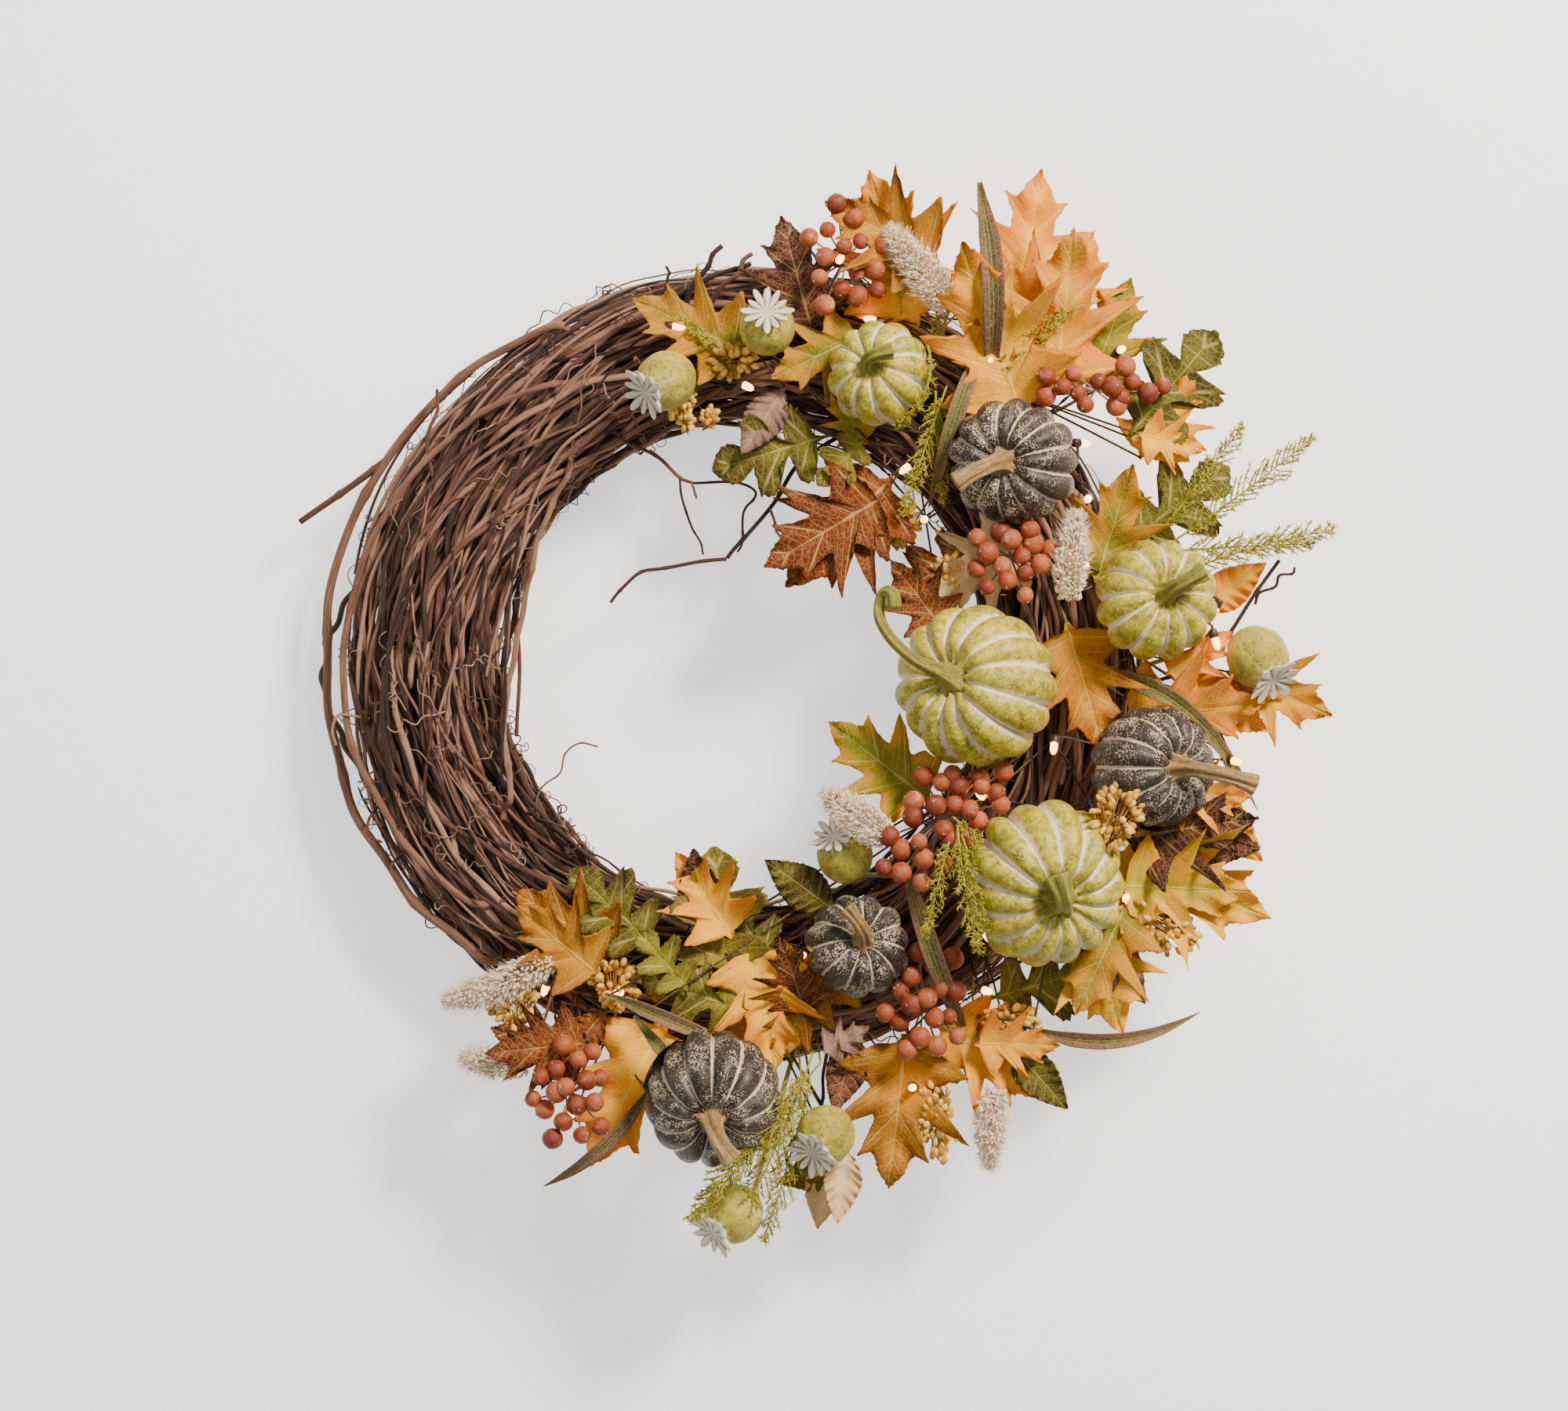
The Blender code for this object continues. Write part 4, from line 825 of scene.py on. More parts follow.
class WREATH_OT_pods(bpy.types.Operator):
    """Poppy pods with rayed crowns on bent stems"""

    bl_idname = "wreath.pods"
    bl_label = "Poppy pods"

    def execute(self, context):
        finish = pod_skin()
        for index, (clock, out, front, radius, lean, lean_clock, *pick) in enumerate(PODS, 1):
            centre, axis = at(clock, out, front), leaning(lean, lean_clock)
            shape, rays = Shape(), 10 + index % 3
            cols = rays * 12
            phase = np.arange(cols) * rays / cols
            reach, tall = through(POD_PROFILE, 44).T * radius * MM
            ridge = 1 + 0.022 * np.abs(np.sin(np.pi * phase)) - 0.022
            shape.lathe(centre, axis, reach, tall, cols, (0, rays), ridge, crown=0, stem=0)
            profile = through(CROWN_PROFILE, 36)
            ridge = np.abs(np.cos(np.pi * phase))
            edge = smoothstep(profile[:, :1], 0.35, 0.85)
            wave = 1 - edge * 0.5 * (1 - ridge**1.1) + edge * 0.12 * np.sin(phase * 2.3)
            upper = smoothstep(profile[:, :1], 0.05, 0.4) * (profile[:, 1:] > 1.1)
            rise = radius * MM * (0.07 * ridge * upper - 0.05 * edge * (1 - ridge))
            reach, tall = profile.T * radius * MM
            turned = (0.5, rays + 0.5)
            shape.lathe(centre, axis, reach, tall, cols, turned, wave, rise, crown=1, stem=0)
            root, low = at(*pick, ROOT), centre - axis * radius * MM
            middle = (root + low) / 2 - AHEAD * 4 * MM
            stem = through([root, middle, low, centre - axis * radius * 0.8 * MM], 24)
            shape.tubes(stem, 1.7 * MM, 8, crown=0, stem=1)
            make_piece(f"pod_{index}", shape, finish, (f"poppy_pod_{index}",))
        return {"FINISHED"}


# pick clock, pick out, centre clock, out, front, long side, short side, long clock, count
BERRIES = (
    (12, 38, 14, 62, 36, 76, 62, 0, 15),
    (50, 40, 52, 82, 40, 92, 34, 90, 14),
    (66, -32, 68, -28, 58, 62, 54, 90, 15),
    (126, -35, 127, -54, 66, 116, 62, 40, 27),
    (154, 31, 152, 38, 44, 82, 54, 0, 17),
    (204, 42, 202, 92, 38, 78, 54, 0, 17),
)


def ball(radius, rows):
    """Reach and height of a ball's rows, almost closed at the poles."""
    turn = np.linspace(0.03, np.pi - 0.03, rows)
    return np.sin(turn) * radius, -np.cos(turn) * radius


def berry_skin():
    f = Finish("terracotta_berry")
    fine, wide = f.noise(420.0, 3.0, 0.7), f.noise(120.0, 4.0, 0.6)
    share = fine * 0.5 + wide * 0.4 + f.attribute("tint") * 0.35 - 0.12
    colour = f.ramp(share, (0.3, "6a260f"), (0.5, "98421e"), (0.75, "b8663a"))
    colour = f.mix(f.between(f.spots(800.0), 0.30, 0.16) * 0.5, colour, "5e2414")
    colour = f.mix(f.between(wide, 0.60, 0.74) * 0.4, colour, "e3cdb8")
    colour = f.mix(f.attribute("stem"), colour, f.mix(wide, "5a4034", "b8a498"))
    return f.surface(colour, f.gloss(fine, 0.5, 0.72), f.bump(fine + wide * 0.5, 0.55, 0.0008))


class WREATH_OT_berries(bpy.types.Operator):
    """Terracotta berries on wire stems"""

    bl_idname = "wreath.berries"
    bl_label = "Berries"

    def execute(self, context):
        finish = berry_skin()
        rng = np.random.default_rng(51)
        size = context.scene.wreath_sizes.berry_radius * MM
        for index, (*pick, clock, out, front, long, short, run, count) in enumerate(BERRIES, 1):
            root, centre = at(*pick, ROOT), at(clock, out, front)
            hub = centre - AHEAD * 12 * MM
            i = np.arange(count)
            turn, reach = i * GOLDEN, np.sqrt((i + 0.5) / count)
            place = centre + heading(run) * (0.5 * long * MM * reach * np.cos(turn))[:, None]
            place = place + heading(run + 90) * (0.5 * short * MM * reach * np.sin(turn))[:, None]
            place[:, 1] += (-8 * (1 - reach) + 3 * (i % 2)) * MM
            place = place + rng.normal(0, 1.2 * MM, (count, 3))
            place = clear_of_pumpkins(place, 6.5)
            scale = column(rng, 0.82, 1.12, count)
            wide, tall = ball(size, 13)
            axis = unit(place - hub)
            shape = Shape()
            shape.lathe(place, axis, scale * wide, scale * tall * 0.97, 18, tint=tints(rng, count), stem=0)
            wide, tall = ball(1.0 * MM, 5)
            shape.lathe(place + axis * (scale * size * 0.97), axis, wide, tall * 0.6, 8, tint=0, stem=1)
            t = np.linspace(0, 1, 12)[:, None]
            path = hub + (place - hub)[:, None] * t - AHEAD * 4 * MM * np.sin(np.pi * t)
            shape.tubes(path, 0.7 * MM, 6, tint=0, stem=1)
            shape.tubes(bowed(root, hub, 3, 16), 1.2 * MM, 6, tint=0, stem=1)
            make_piece(f"berries_{index}", shape, finish, (f"berry_spray_{index}",))
        return {"FINISHED"}


# pick clock, pick out, then plumes: (start clock, out, front), (end clock, out, front), radius
PLUMES = (
    (31, 38, (((30, 57, 36), (18, 90, 40), 11),)),
    (72, -2, (((79, 0, 62), (65, 24, 60), 9),)),
    (136, -44, (((140, -70, 60), (148, -124, 56), 11),)),
    (213, 0, (((213, 14, 24), (222, 86, 24), 10), ((208, 88, 20), (216, 107, 20), 8))),
    (148, 40, (((149, 112, 30), (154, 160, 30), 9),)),
)
SPINE_ROWS = 50


def plume_hairs(rng, shape, spine, radius, share, span, spread, thick, sides):
    """Hairs at these shares of the spine, from its skin outward and forward. Each length lies in span (mm),
    and thick is the radius (mm) at each of its rows. The plume is fullest near the middle."""
    count = len(share)
    foot, along = between_stations(spine, share * (SPINE_ROWS - 2))
    turn = column(rng, 0, TURN, count)
    side = unit(np.cross(along, [0.3, 0.2, 0.9]))
    ring = polar(side, np.cross(along, side), turn)
    full = np.sin(np.pi * np.clip(share * 0.86 + 0.14, 0, 1))[:, None] ** 0.6
    out = ring * (radius * MM * 1.15 * full * column(rng, 0.1, 1.0, count) ** 0.6 * spread)
    lean = unit(ring * column(rng, 0.7, 1.3, count) + along * column(rng, 0.5, 1.1, count))
    length = column(rng, *span, count) * MM * (0.55 + 0.45 * full)
    t = np.linspace(0, 1, len(thick))[:, None]
    path = (foot + out)[:, None] + (lean * length)[:, None] * t
    shape.tubes(path, np.array(thick) * MM, sides, tint=tints(rng, count, 0.2))


class WREATH_OT_plumes(bpy.types.Operator):
    """Foxtail plumes: seeds round the stem, and fine bristles that stand past them"""

    bl_idname = "wreath.plumes"
    bl_label = "Foxtail plumes"

    def execute(self, context):
        colours = (0.1, "a8835f"), (0.3, "dcc29c"), (0.62, "f7e8cb")
        finish = seeds_skin("foxtail_seed", 500.0, 2.0, 0.75, False, *colours)
        rng = np.random.default_rng(61)
        for index, (*pick, plumes) in enumerate(PLUMES, 1):
            shape = Shape()
            for start, end, radius in plumes:
                a, b = at(*start), at(*end)
                long = np.linalg.norm(b - a)
                bend = AHEAD * 0.07 * long + heading(rng.uniform(0, 360)) * 0.06 * long
                spine = through([a, (a + b) / 2 + bend, b], SPINE_ROWS)
                shape.tubes(spine, 0.9 * MM, 6, tint=0.1)
                shape.tubes(bowed(at(*pick, ROOT), a, 4, 20), 1.1 * MM, 6, tint=0.05)
                share = rng.uniform(0.02, 1, int(15000 * long))
                plume_hairs(rng, shape, spine, radius, share, (2.4, 3.8), 1.0, (0.35, 1.0, 0.8, 0.15), 4)
                share = np.sqrt(rng.uniform(0.0, 1, int(12000 * long)))
                plume_hairs(rng, shape, spine, radius, share, (6.0, 11.0), 0.95, (0.2, 0.08), 3)
            make_piece(f"plume_{index}", shape, finish, (f"foxtail_{index}",))
        return {"FINISHED"}


# Seed clusters: clock, out, front, long side, short side, long clock
SEEDS = (
    (347, -32, 16, 34, 22, 10), (347, -50, 14, 16, 12, 0), (352, -52, 14, 16, 12, 30),
    (358, -14, 18, 34, 26, 80), (47, -80, 14, 34, 30, 0), (66, -68, 26, 30, 28, 0),
    (112, 46, 84, 46, 34, 20), (122, 112, 34, 56, 34, 120), (143, 78, 26, 44, 20, 90),
    (157, 113, 20, 66, 28, 175), (214, 58, 22, 34, 34, 0), (202, 12, 24, 38, 36, 0), (30, 75, 26, 24, 20, 0),
)


class WREATH_OT_seeds(bpy.types.Operator):
    """Small yellow seed clusters on wiry stems"""

    bl_idname = "wreath.seeds"
    bl_label = "Seed clusters"

    def execute(self, context):
        colours = (0.1, "a87a24"), (0.4, "d9a63a"), (0.8, "ecc660")
        finish = seeds_skin("seed_cluster", 600.0, 3.0, 0.6, True, *colours)
        rng = np.random.default_rng(71)
        shape = Shape()
        for clock, out, front, long, short, run in SEEDS:
            centre = at(clock, out, front)
            count = int(18 + long * short / 22)
            spot = rng.normal(0, 1, (count, 3))
            spot = unit(spot) * column(rng, 0.35, 1, count) ** 0.5
            place = centre + heading(run) * spot[:, :1] * long / 2 * MM
            place = place + heading(run + 90) * spot[:, 1:2] * short / 2 * MM
            place = place + AHEAD * spot[:, 2:] * min(short, 20) / 2 * MM
            place = clear_of_pumpkins(place, 2)
            size = column(rng, 1.7, 2.7, count)
            wide, tall = ball(1 * MM, 6)
            axis = unit(place - centre)
            shape.lathe(place, axis, size * wide, size * tall * 1.45, 7, tint=tints(rng, count))
            foot = centre - heading(run) * long * 0.55 * MM - AHEAD * 10 * MM
            t = np.linspace(0, 1, 3)[:, None]
            shape.tubes(foot + (place - foot)[:, None] * t, 0.35 * MM, 4, tint=0)
            shape.tubes(clear_of_pumpkins(rooted(clock, out, foot), 2), 0.8 * MM, 5, tint=0)
        make_piece("seed_clusters", shape, finish, ())
        return {"FINISHED"}


# ------------------------------------------------------------------ leaves

# Half outlines: a lobe tip comes every "step" points, then points (x across, y along, place on the midrib)
OUTLINES = {
    "maple": (4, ((0.015, -0.07, -0.06), (0.05, 0.0, -0.01), (0.16, 0.01, 0.01), (0.30, 0.07, 0.03),
                  (0.46, 0.17, 0.05), (0.33, 0.22, 0.08), (0.19, 0.30, 0.12), (0.31, 0.43, 0.15),
                  (0.50, 0.62, 0.20), (0.35, 0.57, 0.26), (0.155, 0.49, 0.32), (0.175, 0.62, 0.40),
                  (0.25, 0.79, 0.47), (0.16, 0.75, 0.55), (0.12, 0.79, 0.62), (0.10, 0.85, 0.70),
                  (0.075, 0.90, 0.78), (0.03, 0.95, 0.88), (0.004, 1.0, 0.98))),
    "oak": (6, ((0.012, -0.08, -0.07), (0.02, 0.0, 0.0), (0.04, 0.08, 0.03), (0.15, 0.10, 0.05),
                (0.29, 0.13, 0.07), (0.36, 0.21, 0.09), (0.29, 0.30, 0.12), (0.17, 0.31, 0.16),
                (0.06, 0.33, 0.22), (0.14, 0.42, 0.26), (0.29, 0.46, 0.30), (0.38, 0.56, 0.34),
                (0.33, 0.66, 0.38), (0.20, 0.65, 0.44), (0.07, 0.64, 0.52), (0.13, 0.71, 0.58),
                (0.18, 0.80, 0.65), (0.15, 0.89, 0.73), (0.08, 0.95, 0.83), (0.004, 1.0, 0.97))),
    "lance": (1, ((0.012, -0.08, -0.07), (0.04, 0.0, 0.0), (0.13, 0.10, 0.05), (0.22, 0.22, 0.12),
                  (0.265, 0.35, 0.22), (0.265, 0.47, 0.34), (0.23, 0.60, 0.46), (0.17, 0.73, 0.60),
                  (0.10, 0.85, 0.75), (0.004, 1.0, 0.97))),
    "blade": (1, ((0.012, -0.08, -0.07), (0.03, 0.05, 0.04), (0.05, 0.2, 0.18), (0.055, 0.4, 0.38),
                  (0.05, 0.6, 0.58), (0.035, 0.8, 0.78), (0.003, 1.0, 0.99))),
}
# Inner colour, outer colour, underside colour
CLOTH = {
    "orange": ("eea814", "d47412", "c8904e"),
    "amber": ("b4760e", "8a4a0a", "98703e"),
    "turning": ("74700f", "b27612", "8c7a4a"),
    "yellow": ("b8a418", "dc961a", "b8a45c"),
    "rust": ("76300f", "581c0a", "6e3e2c"),
    "burgundy": ("5a2622", "3c191c", "684040"),
    "mauve": ("8c6c64", "664a48", "a08478"),
    "green": ("66601a", "453c12", "706e3c"),
    "olive": ("867a1e", "5e5218", "84804a"),
    "cream": ("dfc8a2", "cfa67a", "dfc8a2"),
    "blade": ("4a5222", "7d5a48", "6f6640"),
    "dark_blade": ("3f4022", "6b4a3e", "5f5038"),
}
LEAF_STEP = 3.4  # each leaf of a spray stands this far (mm) in front of the one before
LEAF_THICK = 0.5
LEAF_SCALE = 1.08  # all but the blades
# Sprays: node, pick clock, pick out, level, slot, leaves (kind, clock, out, heading, length, cloth, bend)
SPRAYS = (
    ("leaf_spray_1", 355, 30, 7, "olive_leaf", (
        ("maple", 359, -6, 295, 75, "turning"), ("maple", 11, 15, 345, 73, "burgundy"),
        ("maple", 19, 15, 243, 62, "turning"), ("lance", 8, -33, 212, 50, "mauve"),
        ("maple", 28, -49, 326, 38, "turning"), ("oak", 28, -49, 225, 42, "olive"))),
    ("leaf_spray_2", 20, 38, 10, "orange_leaf", (
        ("maple", 26, 43, 342, 95, "orange"), ("maple", 37, 93, 9, 84, "orange"),
        ("maple", 43, 95, 305, 80, "orange"), ("lance", 46, 30, 352, 70, "orange"),
        ("maple", 25, 83, 297, 78, "amber"), ("maple", 47, 34, 339, 108, "orange"))),
    ("leaf_spray_3", 44, 42, 13, "olive_leaf", (
        ("maple", 43, 90, 21, 68, "orange"), ("maple", 51, 82, 21, 74, "turning"),
        ("maple", 62, 86, 32, 60, "orange"), ("oak", 59, 87, 40, 84, "green"),
        ("maple", 48, 63, 6, 98, "orange"), ("maple", 60, 91, 103, 42, "orange"))),
    ("leaf_spray_4", 88, 46, 7, "olive_leaf", (
        ("oak", 72, 55, 54, 82, "green"), ("maple", 76, 27, 16, 74, "turning"),
        ("lance", 83, 92, 54, 50, "orange"), ("maple", 91, 112, 114, 66, "orange"),
        ("lance", 92, 74, 119, 66, "orange"), ("maple", 84, 0, 165, 80, "amber"),
        ("maple", 98, 42, 83, 86, "orange"), ("maple", 91, 67, 57, 48, "orange"))),
    ("leaf_spray_5", 112, 42, 10, "orange_leaf", (
        ("lance", 113, 58, 99, 88, "burgundy"), ("lance", 106, 97, 135, 60, "orange"),
        ("maple", 117, 67, 112, 100, "yellow"), ("maple", 127, 66, 160, 78, "yellow"),
        ("lance", 127, 72, 144, 62, "mauve"), ("maple", 114, 65, 81, 81, "burgundy"),
        ("maple", 107, 79, 91, 51, "orange"), ("maple", 120, 77, 92, 78, "yellow"),
        ("maple", 123, 84, 205, 72, "turning"))),
    ("leaf_spray_6", 140, 38, 13, "rust_leaf", (
        ("oak", 143, 62, 74, 70, "green"), ("maple", 151, 60, 123, 78, "orange"),
        ("maple", 157, 58, 186, 94, "amber"), ("lance", 163, 42, 198, 50, "burgundy"),
        ("lance", 145, 96, 137, 50, "green"), ("maple", 148, 81, 90, 50, "orange"),
        ("maple", 168, 45, 60, 32, "mauve"), ("maple", 126, -71, 308, 78, "turning"))),
    ("leaf_spray_7", 177, 12, 7, "orange_leaf", (
        ("lance", 170, 118, 190, 48, "cream"), ("lance", 168, 126, 254, 48, "olive"),
        ("maple", 175, -12, 203, 66, "orange"), ("maple", 164, -10, 211, 70, "amber"),
        ("lance", 168, 116, 188, 46, "cream"), ("maple", 178, -27, 170, 78, "orange"),
        ("maple", 170, 17, 342, 51, "rust"))),
    ("leaf_spray_8", 208, 30, 7, "orange_leaf", (
        ("maple", 205, -6, 303, 74, "amber"), ("oak", 198, -22, 312, 72, "green"),
        ("maple", 193, 32, 207, 100, "orange"), ("maple", 204, 70, 291, 54, "rust"),
        ("lance", 202, 33, 220, 46, "rust"), ("blade", 193, 80, 214, 92, "dark_blade", 0.4),
        ("maple", 206, 9, 310, 66, "amber"), ("maple", 203, 57, 265, 62, "rust"))),
    ("leaf_spray_9", 193, -30, 13, "olive_leaf", (
        ("lance", 188, -38, 352, 56, "burgundy"), ("oak", 183, -10, 354, 84, "olive"),
        ("oak", 173, -6, 326, 58, "green"), ("lance", 160, -46, 307, 54, "green"),
        ("oak", 179, 14, 289, 74, "olive"), ("maple", 183, -41, 326, 62, "orange"),
        ("oak", 190, 0, 320, 48, "olive"))),
    ("leaf_spray_10", 38, -32, 16, "rust_leaf", (
        ("oak", 19, -58, 253, 74, "green"), ("maple", 38, -66, 224, 92, "rust"),
        ("oak", 63, -47, 239, 62, "rust"), ("maple", 66, -16, 239, 72, "cream"),
        ("maple", 39, -79, 239, 84, "rust"), ("maple", 79, -87, 323, 53, "rust"))),
    ("grass_spray", 97, 18, 16, "green_blade", (
        ("blade", 91, 24, 104, 128, "blade", 0.42), ("blade", 93, 66, 118, 96, "blade", 0.5),
        ("blade", 37, 45, 204, 111, "blade"), ("blade", 27, 135, 172, 143, "dark_blade"),
        ("blade", 142, -41, 166, 126, "blade"), ("blade", 141, 98, 104, 104, "blade", -0.42),
        ("blade", 201, 19, 108, 97, "blade"), ("blade", 196, 30, 139, 93, "blade"))),
)
# Ferns: clock, out, front, heading, length
FERNS = (
    (74, 81, 18, 56, 118), (75, 79, 18, 86, 96), (72, 77, 18, 40, 90), (78, 84, 18, 68, 104),
    (24, 42, 22, 353, 74), (35, 5, 24, 180, 74), (36, 12, 26, 200, 92), (39, 19, 24, 55, 92),
    (31, 20, 22, 20, 60), (28, 12, 50, 190, 46), (169, 50, 58, 222, 136), (170, 46, 30, 200, 128),
    (127, -44, 78, 176, 84), (128, -38, 76, 160, 64), (129, -44, 74, 196, 70), (126, -50, 70, 130, 44),
    (172, 60, 50, 214, 116), (171, 66, 24, 195, 110), (174, 40, 20, 240, 92), (357, -8, 16, 300, 40),
    (352, -20, 14, 250, 34),
)


def leaf_grid(rng, kind, bend):
    """Across t, lobe count by row, and x, y and height by row and column, for a leaf of length 1. Rows run
    from base to tip, and each row goes from a place on the midrib to the outline:
    height = cup x^1.6 + droop y^2 + twist x y + tilt y + ripple, with a crease along the midrib."""
    step, outline = OUTLINES[kind]
    outline, blade = np.array(outline), kind == "blade"
    rows, half = (60, 4) if blade else (66, 8)
    marks = np.linspace(0, len(outline) - 1, rows)
    edge = np.stack([np.interp(marks, np.arange(len(outline)), outline[:, i]) for i in range(3)], -1)
    lobe = np.full(rows, 0.5) if blade else marks / step
    if not blade:
        tooth = np.abs((marks * 1.5) % 1 - 0.5) * 2
        edge[:, 0] *= 1 + (0.16 if kind == "oak" else 0.05) * (tooth - 0.5)
        edge[:, :2] += rng.normal(0, 0.004, (rows, 2))
    t = np.linspace(-1, 1, 2 * half + 1)
    t = np.sign(t) * np.abs(t) ** 0.9
    x = edge[:, :1] * t
    y = edge[:, 2:] + (edge[:, 1:2] - edge[:, 2:]) * np.abs(t)
    cup, droop, twist = rng.uniform(-0.3, 1.15), rng.uniform(-0.4, 0.4), rng.uniform(-0.4, 0.4)
    tilt = rng.uniform(0.04, 0.26)
    ripple = 0.035 * np.sin(TURN * lobe[:, None] + rng.uniform(0, 6)) * np.abs(t) ** 2
    ripple = ripple + 0.018 * np.sin(TURN * 2.7 * y + 5 * x + rng.uniform(0, 6))
    height = cup * np.abs(x) ** 1.6 + droop * y**2 * 0.6 + twist * x * y + tilt * y + ripple
    height = height + 0.016 * (1 - np.exp(-((t / 0.16) ** 2)))
    from_vein = (lobe[:, None] + 0.5) % 1 - 0.5
    height = height - 0.006 * np.exp(-((from_vein / 0.09) ** 2)) * (np.abs(t) > 0.1)
    if blade:
        height = 0.35 * np.sin(np.pi * np.clip(y, 0, 1)) * rng.uniform(0.3, 0.9)
        height = height - rng.uniform(0, 0.25) * y**2 + 0.6 * np.abs(x)
        x = x + (rng.uniform(-0.18, 0.18) + bend) * y**2
    return t, lobe, x, y, height


def cloth_leaf(shape, rng, kind, clock, out, front, toward, length, cloth, bend=0.0):
    """A thin leaf of two sides, kept off the pumpkins and in front of the wall."""
    t, lobe, x, y, height = leaf_grid(rng, kind, bend)
    up, right = heading(toward) * length * MM, heading(toward + 90) * length * MM
    points = at(clock, out, front) + x[..., None] * right + y[..., None] * up
    points = clear_of_pumpkins(points + (height * length * MM)[..., None] * AHEAD, 1.2)
    points[..., 1] = np.minimum(points[..., 1], BACK - 4 * MM)
    half_thick = (LEAF_THICK * MM / 2 * (1 - 0.6 * np.abs(t) ** 6))[:, None] * AHEAD
    ring = np.concatenate([(points - half_thick)[:, ::-1], points + half_thick], 1)
    colours = [np.array(hue(c)) for c in CLOTH[cloth]]
    shade = np.append(rng.uniform(0.85, 1.15) * np.ones(3), 1)
    inner, outer, below = (c * shade for c in colours)
    shape.lattice(ring[None], across=np.concatenate([t[::-1], t]), lobe=lobe[None, :, None],
                  under=np.repeat([1, 0], len(t)), along=np.linspace(0, 1, len(lobe))[None, :, None],
                  colour_in=inner, colour_out=outer, colour_under=below, seed=rng.uniform(0, 1))


def cloth():
    """Printed cloth: colour runs from the middle of the leaf to its rim, with pale veins and a dull back."""
    f = Finish("leaf_cloth")
    across, lobe, under = f.attribute("across"), f.attribute("lobe"), f.attribute("under")
    along, seed = f.attribute("along"), f.attribute("seed")
    inner, outer, below = (f.attribute("colour_" + n, 0) for n in ("in", "out", "under"))
    wide, fine, weave = f.noise(38.0, 4.0), f.noise(170.0, 4.0, 0.7), f.noise(1500.0, 2.0)
    reach = abs(across)
    share = reach * 0.75 + along * 0.35 + (wide - 0.5) * 1.6 + (fine - 0.5) * 0.7 + (seed - 0.5) * 0.4
    colour = f.mix(f.between(share, 0.15, 0.95), inner, outer)
    spot = f.between(fine, 0.60, 0.72)
    colour = f.mix(spot * 0.35, colour, "c99a3f")
    colour = f.mix(f.between(fine, 0.42, 0.30) * 0.4, colour, "4b2a14")
    main = abs(f.maths("FRACT", lobe + 0.5) - 0.5)
    side = abs(f.maths("FRACT", lobe * 4.0 + reach * 1.3) - 0.5)
    lobe_vein = f.between(main, 0.045, 0.012) * f.between(reach, 0.95, 0.6)
    vein = f.maths("MAXIMUM", f.between(reach, 0.05, 0.015), lobe_vein)
    twig = f.between(side, 0.10, 0.02) * 0.5
    web = f.between(f.spots(260.0, "DISTANCE_TO_EDGE"), 0.10, 0.02) * 0.35
    lines = f.maths("MAXIMUM", vein, f.maths("MAXIMUM", web, twig * f.between(reach, 1.0, 0.7)))
    colour = f.mix(lines * 0.65, colour, f.mix(0.48, colour, "efd68a"))
    colour = f.mix(f.between(reach, 0.965, 1.0) * 0.5, colour, "5a3418")
    colour = f.mix(under * 0.85, colour, f.mix(lines * 0.5, below, "a9967a"))
    colour = f.node("ShaderNodeHueSaturation", None, {"Hue": 0.506, "Color": colour})
    relief = f.bump(weave * 0.25 + fine * 0.35 + lines * 0.9, 0.6, 0.0009)
    return f.surface(colour, f.gloss(fine, 0.66, 0.84), relief, Specular_IOR_Level=0.15)


class WREATH_OT_leaves(bpy.types.Operator):
    """Cloth leaves and grass blades, one piece for each spray"""

    bl_idname = "wreath.leaves"
    bl_label = "Leaves"

    def execute(self, context):
        finish = cloth()
        rng = np.random.default_rng(81)
        wrap = {"colour_" + side: hue("4a3a20") for side in ("in", "out", "under")}
        for name, pick_clock, pick_out, level, slot, leaves in SPRAYS:
            shape = Shape()
            root = at(pick_clock, pick_out, ROOT)
            for order, (kind, clock, out, toward, length, colours, *bend) in enumerate(leaves):
                front = level + LEAF_STEP * order
                length *= 1.0 if kind == "blade" else LEAF_SCALE
                cloth_leaf(shape, rng, kind, clock, out, front, toward, length, colours, *bend)
                base = at(clock, out, front) - heading(toward) * 0.05 * length * MM
                stem = bowed(root, base, -3, 14)
                shape.tubes(stem, 0.8 * MM, 6, across=0.5, lobe=0.3, under=0, along=0.5, seed=0, **wrap)
            make_piece(name + "_cloth", shape, finish, (name,))
        return {"FINISHED"}


FERN_ROWS, TWIG_ROWS, NEEDLES = 40, 6, 15


